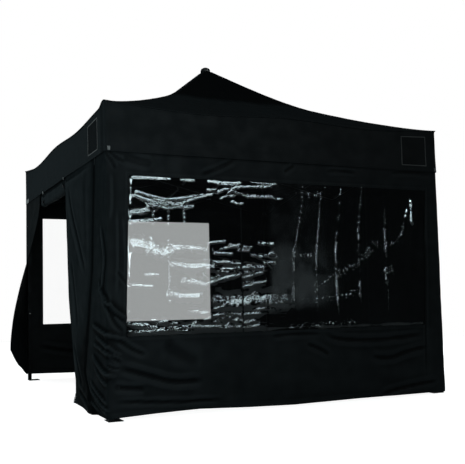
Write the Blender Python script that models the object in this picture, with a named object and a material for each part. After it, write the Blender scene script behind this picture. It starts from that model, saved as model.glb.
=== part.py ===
"""Pop-up canopy tent, 3 by 3 m, with zipped-on walls: metres, +Z up, front wall facing -Y.

Every piece is laid out about the middle of the footprint. One empty then moves the whole tent to
the right by half of the door flap's reach, so that the origin is the middle of its box on the ground.
"""
import math

import bmesh
import bpy
from mathutils import Matrix, Vector

# Driving sizes of the tent
HALF_FOOTPRINT = 1.5
EAVE_HEIGHT = 2.24
PEAK_HEIGHT = 3.112
VALANCE_BOTTOM = 1.888
HEM_HEIGHT = 0.015
FLAP_REACH = 0.24
FACE_GAP = 0.0003

# Cloth and film thicknesses
ROOF_THICKNESS = 0.006
VALANCE_THICKNESS = 0.005
WALL_THICKNESS = 0.008
FILM_THICKNESS = 0.003

# Roof form along a hip, as a function of the distance from the mast
CONE_TOP = 3.092
CONE_SLOPE = 0.58
SKIRT_RISE = 0.31
SKIRT_RUN = 1.12
SKIRT_POWER = 1.15
KINK_SOFTNESS = 0.03
EAVE_DIP = 0.03
PEAK_HOLE = 0.05
ROOF_COLUMNS = 12
ROOF_ROWS = 10

# Telescoping legs
LEG_CENTRE = 1.462
OUTER_TUBE = 0.040
OUTER_TUBE_BORE = 0.0366
INNER_TUBE = 0.0352
INNER_TUBE_BORE = 0.0312
OUTER_TUBE_BOTTOM = 0.66
INNER_TUBE_TOP = 1.40
FOOT_PLATE_SIZE = 0.110
FOOT_PLATE_OUTER = 1.481
FOOT_PLATE_THICKNESS = 0.004

# Folding frame
BRACKET_SIZE = 0.048
CORNER_BRACKET_BOTTOM = 2.155
UPPER_PIVOT_HEIGHT = 2.185
LOWER_PIVOT_HEIGHT = 1.86
SLIDER_HALF_HEIGHT = 0.03
BAR_HEIGHT = 0.026
RISING_BAR_WIDTH = 0.012
FALLING_BAR_WIDTH = 0.016
MIDDLE_JOINT_REACH = 0.018
MAST_RADIUS = 0.016
HUB_RADIUS = 0.040
HUB_HALF_HEIGHT = 0.03
MAST_BOTTOM = 1.80
MAST_SIDES = 16

# Peak cap
CAP_RADIUS = 0.048
CAP_BOTTOM = 3.0653

# Walls
WALL_TOP = 2.18
WINDOW_BOTTOM = 0.585
WINDOW_TOP = 1.735
FRONT_WINDOW = (-1.31, 1.345)
BACK_WINDOW = (-1.31, 0.70)
DOOR_NEAR_TOP = -0.36
DOOR_NEAR_BOTTOM = -0.66
DOOR_FAR_TOP = 0.77
HEADER_BOTTOM = 1.79
FLAP_CORNER_RISE = 0.33
FLAP_CORNER_Y = 0.93
ROLL_RADIUS = 0.050
ROLL_HEIGHT = 1.79
ROLL_SIDES = 12

# Finishes: base colour, roughness, metallic
CLOTH_FINISH = ((0.012, 0.014, 0.014), 0.75, 0.0)
FILM_FINISH = ((0.75, 0.8, 0.8), 0.12, 0.0)
ALUMINIUM_FINISH = ((0.62, 0.63, 0.64), 0.35, 1.0)
PLASTIC_FINISH = ((0.03, 0.03, 0.032), 0.5, 0.0)
STEEL_FINISH = ((0.7, 0.7, 0.7), 0.3, 1.0)

VALANCE_INNER = HALF_FOOTPRINT - VALANCE_THICKNESS
WALL_OUTER = VALANCE_INNER - FACE_GAP
WALL_INNER = WALL_OUTER - WALL_THICKNESS

SIDES = (("front", 0), ("right", 90), ("back", 180), ("left", 270))
CORNERS = (
    ("front_left", -1, -1),
    ("front_right", 1, -1),
    ("back_right", 1, 1),
    ("back_left", -1, 1),
)


def clear_scene():
    for item in list(bpy.data.objects):
        bpy.data.objects.remove(item, do_unlink=True)


def make_material(name, finish):
    colour, roughness, metallic = finish
    material = bpy.data.materials.new(name + "_finish")
    material.use_nodes = True
    shader = material.node_tree.nodes["Principled BSDF"]
    shader.inputs["Base Color"].default_value = (*colour, 1.0)
    shader.inputs["Roughness"].default_value = roughness
    shader.inputs["Metallic"].default_value = metallic
    material.diffuse_color = (*colour, 1.0)
    return material


def make_object(name, mesh_builder, finish, parent, place=None):
    """Turn a bmesh into one named object under the parent, optionally turned and moved by place."""
    if place is not None:
        bmesh.ops.transform(mesh_builder, matrix=place, verts=mesh_builder.verts)
    bmesh.ops.recalc_face_normals(mesh_builder, faces=mesh_builder.faces)
    mesh = bpy.data.meshes.new(name)
    mesh_builder.to_mesh(mesh)
    mesh_builder.free()
    mesh.materials.append(make_material(name, finish))
    item = bpy.data.objects.new(name, mesh)
    bpy.context.scene.collection.objects.link(item)
    item.parent = parent
    return item


def box_mesh(low, high):
    """A box between two corners."""
    builder = bmesh.new()
    bmesh.ops.create_cube(builder, size=1.0)
    size = Vector(high) - Vector(low)
    centre = (Vector(high) + Vector(low)) / 2
    bmesh.ops.scale(builder, vec=size, verts=builder.verts)
    bmesh.ops.translate(builder, vec=centre, verts=builder.verts)
    return builder


def outline_mesh(points, depth):
    """A flat outline, given as 3-D points in order, pushed along the depth vector."""
    builder = bmesh.new()
    corners = [builder.verts.new(point) for point in points]
    face = builder.faces.new(corners)
    pushed = bmesh.ops.extrude_face_region(builder, geom=[face])
    moved = [part for part in pushed["geom"] if isinstance(part, bmesh.types.BMVert)]
    bmesh.ops.translate(builder, vec=depth, verts=moved)
    return builder


def sheet_mesh(surface, columns, rows, depth):
    """A sheet of cloth: surface(across, down) from 0 to 1 each way, made solid along depth."""
    builder = bmesh.new()
    bmesh.ops.create_grid(builder, x_segments=columns, y_segments=rows, size=0.5)
    for vertex in builder.verts:
        vertex.co = surface(vertex.co.x + 0.5, vertex.co.y + 0.5)
    pushed = bmesh.ops.extrude_face_region(builder, geom=list(builder.faces))
    moved = [part for part in pushed["geom"] if isinstance(part, bmesh.types.BMVert)]
    bmesh.ops.translate(builder, vec=depth, verts=moved)
    return builder


def turned_mesh(profile, sides):
    """A closed body of revolution from (radius, height) points whose first and last lie on the axis."""
    builder = bmesh.new()
    half_step = math.pi / sides
    points = [builder.verts.new((radius, 0, height)) for radius, height in profile]
    edges = [builder.edges.new(pair) for pair in zip(points, points[1:])]
    bmesh.ops.rotate(builder, verts=points, cent=(0, 0, 0), matrix=Matrix.Rotation(half_step, 3, "Z"))
    bmesh.ops.spin(
        builder, geom=points + edges, axis=(0, 0, 1), cent=(0, 0, 0), angle=math.tau, steps=sides, use_merge=True
    )
    bmesh.ops.remove_doubles(builder, verts=builder.verts, dist=0.00001)
    return builder


def square_tube_mesh(size, bore, bottom, top):
    """An open square tube, standing on the Z axis."""
    builder = bmesh.new()
    rings = []
    for half, height in ((size / 2, bottom), (size / 2, top), (bore / 2, top), (bore / 2, bottom)):
        corners = [(-half, -half), (half, -half), (half, half), (-half, half)]
        rings.append([builder.verts.new((x, y, height)) for x, y in corners])
    for ring, following in zip(rings, rings[1:] + rings[:1]):
        for index in range(4):
            beside = (index + 1) % 4
            builder.faces.new((ring[index], ring[beside], following[beside], following[index]))
    return builder


def union(item, others):
    """Fuse other objects into item with exact Booleans, and hide them."""
    for other in others:
        modifier = item.modifiers.new("join_" + other.name, "BOOLEAN")
        modifier.operation = "UNION"
        modifier.object = other
        other.hide_render = True
        other.display_type = "WIRE"


def side_matrix(degrees):
    """Turns a piece of the front side to another side."""
    return Matrix.Rotation(math.radians(degrees), 4, "Z")


def hip_height(distance):
    """Top of the roof cloth over a hip, at a distance from the mast."""
    cone = CONE_TOP - CONE_SLOPE * distance
    hip_length = HALF_FOOTPRINT * math.sqrt(2)
    run = max(hip_length - distance, 0.0) / SKIRT_RUN
    skirt = EAVE_HEIGHT + SKIRT_RISE * run**SKIRT_POWER
    return (cone + skirt + math.hypot(cone - skirt, KINK_SOFTNESS)) / 2 - KINK_SOFTNESS**2 / 2


def eave_dip(across):
    """How far the eave hangs between its supports at the corners and at mid side; across runs 0 to 1."""
    return EAVE_DIP * math.sin(math.tau * across) ** 2


def roof_point(across, out):
    """A point on the top of the front roof panel; out runs from 0 at the peak hole to 1 at the eave."""
    reach = PEAK_HOLE + (HALF_FOOTPRINT - PEAK_HOLE) * out
    along = (2 * across - 1) * (reach - FACE_GAP)
    height = hip_height(reach * math.sqrt(2)) - eave_dip(across) * out**2
    return Vector((along, -reach, height))


def add_roof(parent):
    for side, degrees in SIDES:
        panel = sheet_mesh(roof_point, ROOF_COLUMNS, ROOF_ROWS, (0, 0, -ROOF_THICKNESS))
        make_object("roof_" + side, panel, CLOTH_FINISH, parent, side_matrix(degrees))


def valance_point(across, down):
    """A point on the outer face of the front valance."""
    half_length = HALF_FOOTPRINT - VALANCE_THICKNESS / 2
    top = roof_point(across, 1.0).z - ROOF_THICKNESS - FACE_GAP
    height = top + (VALANCE_BOTTOM - top) * down
    mitre = half_length - FACE_GAP - VALANCE_THICKNESS / 2
    return Vector(((2 * across - 1) * mitre, -HALF_FOOTPRINT, height))


def add_valances(parent):
    for side, degrees in SIDES:
        band = sheet_mesh(valance_point, ROOF_COLUMNS, 2, (0, VALANCE_THICKNESS, 0))
        make_object("valance_" + side, band, CLOTH_FINISH, parent, side_matrix(degrees))


def add_peak(parent):
    dome_height = PEAK_HEIGHT - CAP_BOTTOM
    rim_height = CAP_BOTTOM + dome_height * 0.35
    profile = [(0, PEAK_HEIGHT)]
    for step in range(1, 4):
        angle = math.radians(30 * step)
        profile.append((CAP_RADIUS * math.sin(angle), rim_height + (PEAK_HEIGHT - rim_height) * math.cos(angle)))
    profile += [(CAP_RADIUS, CAP_BOTTOM), (0, CAP_BOTTOM)]
    make_object("peak_cap", turned_mesh(profile, MAST_SIDES), PLASTIC_FINISH, parent)
    profile = [(0, CAP_BOTTOM - FACE_GAP), (MAST_RADIUS, CAP_BOTTOM - FACE_GAP)]
    for pivot in (UPPER_PIVOT_HEIGHT, LOWER_PIVOT_HEIGHT):
        profile += [
            (MAST_RADIUS, pivot + HUB_HALF_HEIGHT),
            (HUB_RADIUS, pivot + HUB_HALF_HEIGHT),
            (HUB_RADIUS, pivot - HUB_HALF_HEIGHT),
            (MAST_RADIUS, pivot - HUB_HALF_HEIGHT),
        ]
    profile += [(MAST_RADIUS, MAST_BOTTOM), (0, MAST_BOTTOM)]
    make_object("centre_mast", turned_mesh(profile, MAST_SIDES), ALUMINIUM_FINISH, parent)


def bar_mesh(start, end, width):
    """A scissor bar along X between two (x, z) points, with upright ends."""
    (start_x, start_z), (end_x, end_z) = start, end
    half = BAR_HEIGHT / 2
    outline = [
        (start_x, -width / 2, start_z - half),
        (end_x, -width / 2, end_z - half),
        (end_x, -width / 2, end_z + half),
        (start_x, -width / 2, start_z + half),
    ]
    return outline_mesh(outline, (0, width, 0))


def scissor_unit(name, low_x, high_x, place, parent):
    """Two crossed bars between two uprights: the rising one, and the falling one to be joined to it."""
    rising = bar_mesh((low_x, LOWER_PIVOT_HEIGHT), (high_x, UPPER_PIVOT_HEIGHT), RISING_BAR_WIDTH)
    falling = bar_mesh((low_x, UPPER_PIVOT_HEIGHT), (high_x, LOWER_PIVOT_HEIGHT), FALLING_BAR_WIDTH)
    return (
        make_object(name, rising, ALUMINIUM_FINISH, parent, place),
        make_object(name + "_falling_bar", falling, ALUMINIUM_FINISH, parent, place),
    )


def add_trusses(parent):
    """Two scissor units along each side, and one from each mid side to the mast."""
    end = LEG_CENTRE - BRACKET_SIZE / 2 - FACE_GAP
    flat = HUB_RADIUS * math.cos(math.pi / MAST_SIDES)
    inner_start = flat + FACE_GAP
    inner_end = LEG_CENTRE - FALLING_BAR_WIDTH / 2 - FACE_GAP
    for side, degrees in SIDES:
        along = side_matrix(degrees) @ Matrix.Translation((0, -LEG_CENTRE, 0))
        name = "truss_" + side
        left, left_bar = scissor_unit(name, -end, MIDDLE_JOINT_REACH, along, parent)
        right, right_bar = scissor_unit(name + "_second_unit", -MIDDLE_JOINT_REACH, end, along, parent)
        union(left, [left_bar, right, right_bar])
        inwards = side_matrix(degrees - 90)
        inner, inner_bar = scissor_unit("inner_truss_" + side, inner_start, inner_end, inwards, parent)
        union(inner, [inner_bar])


def canopy_underside(reach):
    """Lowest underside of the roof cloth over a square of this half width near a corner."""
    return hip_height(reach * math.sqrt(2)) - ROOF_THICKNESS


def add_legs(parent):
    bracket_edge = LEG_CENTRE + BRACKET_SIZE / 2
    bracket_top = canopy_underside(bracket_edge) - FACE_GAP
    for corner, sign_x, sign_y in CORNERS:
        axis = Matrix.Translation((sign_x * LEG_CENTRE, sign_y * LEG_CENTRE, 0))
        tube = square_tube_mesh(OUTER_TUBE, OUTER_TUBE_BORE, OUTER_TUBE_BOTTOM, CORNER_BRACKET_BOTTOM - FACE_GAP)
        make_object("upper_leg_" + corner, tube, ALUMINIUM_FINISH, parent, axis)
        half = BRACKET_SIZE / 2
        block = box_mesh((-half, -half, CORNER_BRACKET_BOTTOM), (half, half, bracket_top))
        make_object("corner_bracket_" + corner, block, PLASTIC_FINISH, parent, axis)
        sleeve = square_tube_mesh(
            BRACKET_SIZE,
            OUTER_TUBE + 2 * FACE_GAP,
            LOWER_PIVOT_HEIGHT - SLIDER_HALF_HEIGHT,
            LOWER_PIVOT_HEIGHT + SLIDER_HALF_HEIGHT,
        )
        make_object("sliding_bracket_" + corner, sleeve, PLASTIC_FINISH, parent, axis)
        add_lower_leg(corner, sign_x, sign_y, parent)


def add_lower_leg(corner, sign_x, sign_y, parent):
    """The inner tube with its welded foot plate, whose origin is on the leg's axis on the ground."""
    inner_tube = square_tube_mesh(INNER_TUBE, INNER_TUBE_BORE, FOOT_PLATE_THICKNESS / 2, INNER_TUBE_TOP)
    leg = make_object("lower_leg_" + corner, inner_tube, ALUMINIUM_FINISH, parent)
    outer = FOOT_PLATE_OUTER - LEG_CENTRE
    inner = outer - FOOT_PLATE_SIZE
    xs = sorted((sign_x * outer, sign_x * inner))
    ys = sorted((sign_y * outer, sign_y * inner))
    plate_mesh = box_mesh((xs[0], ys[0], 0), (xs[1], ys[1], FOOT_PLATE_THICKNESS))
    plate = make_object("foot_plate_" + corner, plate_mesh, STEEL_FINISH, parent)
    union(leg, [plate])
    for item in (leg, plate):
        item.location = (sign_x * LEG_CENTRE, sign_y * LEG_CENTRE, 0)


def add_windowed_wall(side, degrees, window, parent):
    """A wall of four strips of cloth round one pane of clear film."""
    edge = WALL_OUTER
    left, right = window
    if side == "back":
        left, right = -right, -left
    gap = FACE_GAP
    pieces = {
        "top": ((-edge, WINDOW_TOP), (edge, WALL_TOP)),
        "skirt": ((-edge, HEM_HEIGHT), (edge, WINDOW_BOTTOM)),
        "left_strip": ((-edge, WINDOW_BOTTOM + gap), (left, WINDOW_TOP - gap)),
        "right_strip": ((right, WINDOW_BOTTOM + gap), (edge, WINDOW_TOP - gap)),
    }
    for piece, ((low_x, low_z), (high_x, high_z)) in pieces.items():
        slab = box_mesh((low_x, -WALL_OUTER, low_z), (high_x, -WALL_INNER, high_z))
        make_object(f"{side}_wall_{piece}", slab, CLOTH_FINISH, parent, side_matrix(degrees))
    middle = (WALL_OUTER + WALL_INNER) / 2
    low = (left + gap, -middle - FILM_THICKNESS / 2, WINDOW_BOTTOM + gap)
    high = (right - gap, -middle + FILM_THICKNESS / 2, WINDOW_TOP - gap)
    make_object(side + "_window_film", box_mesh(low, high), FILM_FINISH, parent, side_matrix(degrees))


def add_right_wall(parent):
    end = WALL_INNER - FACE_GAP
    slab = box_mesh((WALL_INNER, -end, HEM_HEIGHT), (WALL_OUTER, end, WALL_TOP))
    make_object("right_wall", slab, CLOTH_FINISH, parent)


def near_panel_edge(height):
    """The doorway's near edge, which is drawn in towards the corner lower down."""
    share = min(max((HEADER_BOTTOM - height) / (HEADER_BOTTOM - HEM_HEIGHT), 0.0), 1.0)
    return DOOR_NEAR_TOP + (DOOR_NEAR_BOTTOM - DOOR_NEAR_TOP) * share**1.6


def flap_point(across, down):
    """A point on the outer face of the far flap: across runs from its free edge to the far leg."""
    end = WALL_INNER - FACE_GAP
    top = HEADER_BOTTOM - FACE_GAP
    twist = math.sin(math.pi / 2 * down) ** 1.5
    free = Vector((-FLAP_REACH - HALF_FOOTPRINT, FLAP_CORNER_Y, FLAP_CORNER_RISE + HEM_HEIGHT))
    free_top = Vector((-WALL_OUTER, DOOR_FAR_TOP, top))
    leg_top = Vector((-WALL_OUTER, end, top))
    leg_bottom = Vector((-WALL_OUTER, end, HEM_HEIGHT))
    free_edge = free_top.lerp(free, down)
    free_edge.x = free_top.x + (free.x - free_top.x) * twist
    return free_edge.lerp(leg_top.lerp(leg_bottom, down), across)


def add_left_wall(parent):
    """The near panel, the header over the doorway, the far flap and the rolled-up door."""
    end = WALL_INNER - FACE_GAP
    heights = [HEM_HEIGHT + (HEADER_BOTTOM - FACE_GAP - HEM_HEIGHT) * step / 8 for step in range(9)]
    outline = [(-WALL_OUTER, -end, heights[-1]), (-WALL_OUTER, -end, heights[0])]
    outline += [(-WALL_OUTER, near_panel_edge(height), height) for height in heights]
    panel = outline_mesh(outline, (WALL_THICKNESS, 0, 0))
    make_object("left_wall_near_panel", panel, CLOTH_FINISH, parent)
    header = box_mesh((-WALL_OUTER, -end, HEADER_BOTTOM), (-WALL_INNER, end, WALL_TOP))
    make_object("left_wall_header", header, CLOTH_FINISH, parent)
    flap = sheet_mesh(flap_point, 6, 10, (WALL_THICKNESS, 0, 0))
    make_object("left_wall_far_flap", flap, CLOTH_FINISH, parent)
    length = DOOR_FAR_TOP - DOOR_NEAR_TOP
    profile = [(0, length / 2), (ROLL_RADIUS, length / 2), (ROLL_RADIUS, -length / 2), (0, -length / 2)]
    lying = Matrix.Rotation(math.pi / 2, 4, "X")
    centre_x = -WALL_INNER + FACE_GAP + ROLL_RADIUS * math.cos(math.pi / ROLL_SIDES)
    place = Matrix.Translation((centre_x, DOOR_NEAR_TOP + length / 2, ROLL_HEIGHT)) @ lying
    make_object("rolled_door", turned_mesh(profile, ROLL_SIDES), CLOTH_FINISH, parent, place)


def main():
    clear_scene()
    middle = bpy.data.objects.new("tent_middle", None)
    bpy.context.scene.collection.objects.link(middle)
    middle.location = (FLAP_REACH / 2, 0, 0)
    add_roof(middle)
    add_valances(middle)
    add_peak(middle)
    add_legs(middle)
    add_trusses(middle)
    add_windowed_wall("front", 0, FRONT_WINDOW, middle)
    add_windowed_wall("back", 180, BACK_WINDOW, middle)
    add_right_wall(middle)
    add_left_wall(middle)


main()
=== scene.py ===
"""Pop-up canopy tent: sewn cloth, film windows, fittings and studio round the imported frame.

Every sewn piece is laid out about the middle of the footprint, as if it were on the front side: along
runs from left to right, up is the height, and out is the distance off the piece's own plane. Side.place()
then turns it to its side, and finish_piece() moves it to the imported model's place.
"""
import logging
import math
from collections.abc import Callable, Iterable, Sequence
from dataclasses import dataclass, field
from enum import Enum

import bmesh
import bpy
import numpy as np
from mathutils import Matrix, Vector


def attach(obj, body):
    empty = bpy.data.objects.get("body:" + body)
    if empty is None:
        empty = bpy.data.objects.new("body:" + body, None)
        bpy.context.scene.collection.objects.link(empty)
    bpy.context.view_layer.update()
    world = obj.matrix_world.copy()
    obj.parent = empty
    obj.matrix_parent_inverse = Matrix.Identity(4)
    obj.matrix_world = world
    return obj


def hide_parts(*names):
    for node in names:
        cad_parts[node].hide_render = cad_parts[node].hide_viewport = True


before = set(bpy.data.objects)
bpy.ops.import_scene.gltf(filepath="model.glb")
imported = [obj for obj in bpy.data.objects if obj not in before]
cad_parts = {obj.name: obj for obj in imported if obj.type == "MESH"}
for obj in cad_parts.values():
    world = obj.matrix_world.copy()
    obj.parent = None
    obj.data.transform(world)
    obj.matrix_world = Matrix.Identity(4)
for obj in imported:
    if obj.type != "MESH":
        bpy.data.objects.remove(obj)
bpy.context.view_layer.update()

LOG = logging.getLogger("tent")
FOOTPRINT_MIDDLE = Vector((0.12, 0.0, 0.0))
BODY = "tent"


class Side(Enum):
    """The four sides of the tent, by how far each is turned from the front."""

    FRONT = 0
    RIGHT = 90
    BACK = 180
    LEFT = 270

    def place(self, points: np.ndarray) -> np.ndarray:
        """Turns points of a front-side layout to this side.

        Args:
            points: Rows of x, y and z.

        Returns:
            The turned rows.
        """
        angle = math.radians(self.value)
        cosine, sine = math.cos(angle), math.sin(angle)
        x, y, z = points.T
        return np.stack([cosine * x - sine * y, sine * x + cosine * y, z], axis=1)


class FoldKind(Enum):
    """The cross-sections that a fold in cloth can have."""

    RIDGE = "ridge"
    VALLEY = "valley"
    LEDGE = "ledge"


@dataclass(frozen=True)
class Fold:
    """One fold: the line it follows as (along, up) points, its height, half width, kind and unevenness."""

    path: tuple[tuple[float, float], ...]
    height: float
    width: float
    kind: FoldKind = FoldKind.VALLEY
    ragged: float = 0.0


@dataclass(frozen=True)
class TentSizes:
    """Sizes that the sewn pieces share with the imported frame, in metres."""

    half: float = 1.5
    eave: float = 2.24
    valance_bottom: float = 1.888
    wall_plane: float = 1.4907
    wall_top: float = 2.16
    leg_inner: float = 1.43
    cone_top: float = 3.092
    cone_slope: float = 0.58
    skirt_rise: float = 0.31
    skirt_run: float = 1.12
    skirt_power: float = 1.15
    kink_softness: float = 0.07
    eave_dip: float = 0.03


TENT = TentSizes()


# Shaping helpers


def ease(share: np.ndarray | float) -> np.ndarray:
    """Goes smoothly from 0 to 1 as share does."""
    clipped = np.clip(share, 0.0, 1.0)
    return clipped * clipped * (3 - 2 * clipped)


def hump(distance: np.ndarray, width: float) -> np.ndarray:
    """A smooth hump of height 1 that is about width to each side."""
    return np.exp(-((distance / width) ** 2))


def facet(path: tuple[tuple[float, float], ...], width: float) -> Fold:
    """A fold that tilts a strip of film upwards, the more the lower it lies, along a path from left to right."""
    along, up = np.mean(path, axis=0)
    slope = 0.487 - 0.187 * up + 0.022 * (along + 1.2)
    return Fold(path, -slope * width, width, FoldKind.LEDGE, ragged=0.75)


def chain(along: float, low: float, high: float, width: float = 0.005, pitch: float = 0.029) -> list[Fold]:
    """Small facets one above another, as they lie along an upright crease."""
    return [facet(((along - 0.008, up), (along + 0.008, up + 0.001)), width) for up in np.arange(low, high, pitch)]


def thin_facets(seed: int, count: int, along: tuple[float, float], up: tuple[float, float]) -> list[Fold]:
    """Draws thin wavy facets over a part of the film.

    Args:
        seed: Any whole number.
        count: How many there are.
        along: The span of their middles from left to right.
        up: The span of their heights.

    Returns:
        The facets.
    """
    draw = np.random.default_rng(seed)
    facets = []
    for _ in range(count):
        middle, level = draw.uniform(*along), draw.uniform(*up)
        reach, width = draw.uniform(0.04, 0.12), draw.uniform(0.005, 0.008)
        low, high, bend = draw.normal(0.0, 0.018, 3)
        path = ((middle - reach, level + low), (middle, level + bend), (middle + reach, level + high))
        facets.append(facet(path, width))
    return facets


class CreaseNoise:
    """Smooth noise over a plane, the same on every run for one seed."""

    def __init__(self, seed: int) -> None:
        """Draws the order and the slopes of the noise.

        Args:
            seed: Any whole number.
        """
        draw = np.random.default_rng(seed)
        self.order = draw.permutation(256)
        turn = draw.random(256) * math.tau
        self.slope_x, self.slope_y = np.cos(turn), np.sin(turn)

    def corner(self, cell_x: np.ndarray, cell_y: np.ndarray, x: np.ndarray, y: np.ndarray) -> np.ndarray:
        """The pull of one corner of a cell on the points in it."""
        pick = self.order[(self.order[cell_x & 255] + cell_y) & 255]
        return self.slope_x[pick] * x + self.slope_y[pick] * y

    def at(self, x: np.ndarray, y: np.ndarray) -> np.ndarray:
        """Reads the noise.

        Args:
            x: Places along, in cells.
            y: Places up, in cells.

        Returns:
            Values from about -1 to 1.
        """
        cell_x, cell_y = np.floor(x).astype(int), np.floor(y).astype(int)
        x, y = x - cell_x, y - cell_y
        blend_x, blend_y = ease(x), ease(y)
        low = self.corner(cell_x, cell_y, x, y) * (1 - blend_x) + self.corner(cell_x + 1, cell_y, x - 1, y) * blend_x
        high = (
            self.corner(cell_x, cell_y + 1, x, y - 1) * (1 - blend_x)
            + self.corner(cell_x + 1, cell_y + 1, x - 1, y - 1) * blend_x
        )
        return 1.4 * (low * (1 - blend_y) + high * blend_y)

    def crumple(self, x: np.ndarray, y: np.ndarray, layers: int = 3) -> np.ndarray:
        """Creased noise with sharp ridges between flatter facets, from 0 to about 1."""
        total, weight, reach = np.zeros_like(x), 1.0, 0.0
        for layer in range(layers):
            scale = 1.9**layer
            total += weight * (1 - np.abs(self.at(x * scale + 7.3 * layer, y * scale - 3.1 * layer)))
            reach += weight
            weight *= 0.5
        return total / reach


RAGGED = CreaseNoise(43)


def rounded_path(path: Sequence[tuple[float, float]], rounds: int = 2) -> np.ndarray:
    """Cuts the corners of a path so that a fold along it curves."""
    points = np.array(path, float)
    for _ in range(rounds if len(points) > 2 else 0):
        near = points[:-1] * 0.75 + points[1:] * 0.25
        far = points[:-1] * 0.25 + points[1:] * 0.75
        middle = np.stack([near, far], axis=1).reshape(-1, 2)
        points = np.concatenate([points[:1], middle[1:-1], points[-1:]])
    return points


def beside_path(flat: np.ndarray, path: np.ndarray) -> tuple[np.ndarray, np.ndarray, np.ndarray]:
    """Where points lie beside a path.

    Args:
        flat: Rows of along and up.
        path: Rows of the path's own points.

    Returns:
        The distance from the path, the share of its length passed, and which side it is on, 1 or -1.
    """
    lengths = np.linalg.norm(np.diff(path, axis=0), axis=1)
    passed = np.concatenate([[0.0], np.cumsum(lengths)])
    best = np.full(len(flat), np.inf)
    share, side = np.zeros(len(flat)), np.ones(len(flat))
    for index, length in enumerate(lengths):
        step = (path[index + 1] - path[index]) / length
        offset = flat - path[index]
        along = np.clip(offset @ step, 0.0, length)
        distance = np.linalg.norm(offset - along[:, None] * step, axis=1)
        nearer = distance < best
        best = np.where(nearer, distance, best)
        share = np.where(nearer, (passed[index] + along) / passed[-1], share)
        turn = step[0] * offset[:, 1] - step[1] * offset[:, 0]
        side = np.where(nearer, np.where(turn >= 0, 1.0, -1.0), side)
    return best, share, side


def fold_relief(flat: np.ndarray, folds: Iterable[Fold]) -> np.ndarray:
    """How far a set of folds moves each point of a sheet out of its plane.

    Args:
        flat: Rows of along and up.
        folds: The folds.

    Returns:
        The distance out for each row.
    """
    out = np.zeros(len(flat))
    for fold in folds:
        distance, share, side = beside_path(flat, rounded_path(fold.path))
        fade = ease(share / 0.22) * ease((1 - share) / 0.22)
        if fold.kind is FoldKind.RIDGE:
            shape = hump(distance, fold.width)
        elif fold.kind is FoldKind.VALLEY:
            lips = hump(distance - 1.9 * fold.width, fold.width)
            shape = 0.35 * lips - hump(distance, fold.width)
        else:
            across = side * distance / fold.width
            shape = across / (1 + (across / 1.6) ** 4)
            if fold.ragged:
                shape *= 1 + fold.ragged * RAGGED.at(flat[:, 0] * 21.0, flat[:, 1] * 13.0)
        out += fold.height * fade * shape
    return out


def fold_reach(flat: np.ndarray, folds: Iterable[Fold], least: float) -> np.ndarray:
    """How near each point lies to any of a set of folds, from least to 1."""
    reach = np.full(len(flat), least)
    for fold in folds:
        distance, share, _ = beside_path(flat, rounded_path(fold.path))
        fade = ease(share / 0.1) * ease((1 - share) / 0.1)
        reach = np.maximum(reach, fade * hump(distance, 1.5 * fold.width))
    return reach


def stops_to_lines(stops: Sequence[float], spacing: float) -> np.ndarray:
    """Grid lines through every stop and at most spacing apart."""
    lines = [stops[0]]
    for low, high in zip(stops, stops[1:]):
        count = max(1, math.ceil((high - low) / spacing - 1e-6))
        lines.extend(np.linspace(low, high, count + 1)[1:])
    return np.array(lines)


def flat_cloth(along: np.ndarray, up: np.ndarray) -> tuple[bmesh.types.BMesh, np.ndarray]:
    """A flat grid of cloth whose lines lie where they are asked for.

    Args:
        along: The places of the upright lines.
        up: The heights of the level lines.

    Returns:
        The mesh, and the along and up of each of its vertices.
    """
    builder = bmesh.new()
    bmesh.ops.create_grid(builder, x_segments=len(along) - 1, y_segments=len(up) - 1, size=0.5)
    unit = np.array([vertex.co[:2] for vertex in builder.verts]) + 0.5
    column = np.rint(unit[:, 0] * (len(along) - 1)).astype(int)
    row = np.rint(unit[:, 1] * (len(up) - 1)).astype(int)
    return builder, np.stack([along[column], up[row]], axis=1)


def set_points(builder: bmesh.types.BMesh, points: np.ndarray) -> None:
    """Moves every vertex of a mesh to its row of points."""
    for vertex, point in zip(builder.verts, points):
        vertex.co = point


def set_shade(builder: bmesh.types.BMesh, shade: np.ndarray) -> None:
    """Gives every vertex a number that makes its cloth paler, or darker below nought: painted highlight and painted
    shade. On film the same number carries wear and the white painted along creases.
    """
    layer = builder.verts.layers.float.new("fold")
    for vertex, value in zip(builder.verts, shade):
        vertex[layer] = float(value)


def round_corners(x: np.ndarray, y: np.ndarray, half: float, radius: float) -> tuple[np.ndarray, np.ndarray]:
    """Rounds a path round the four sides of a square where it turns its corners.

    Args:
        x: Places across.
        y: Places in depth.
        half: Half of the square's side.
        radius: The radius at the corners.

    Returns:
        The points of the rounded path, and the direction that faces outwards at each.
    """
    points = np.stack([x, y], axis=1)
    core = np.clip(points, radius - half, half - radius)
    facing = points - core
    facing /= np.linalg.norm(facing, axis=1)[:, None]
    return core + radius * facing, facing


def wall_points(flat: np.ndarray, out: np.ndarray, plane: float, radius: float = 0.012) -> np.ndarray:
    """Stands a flat sheet up as a front wall, and turns what runs past a corner onto the next side."""
    along = flat[:, 0]
    past = np.maximum(np.abs(along) - plane, 0.0)
    x = np.clip(along, -plane, plane)
    placed, facing = round_corners(x, -plane + past, plane, radius)
    placed = placed + facing * out[:, None]
    return np.column_stack([placed, flat[:, 1]])


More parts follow.
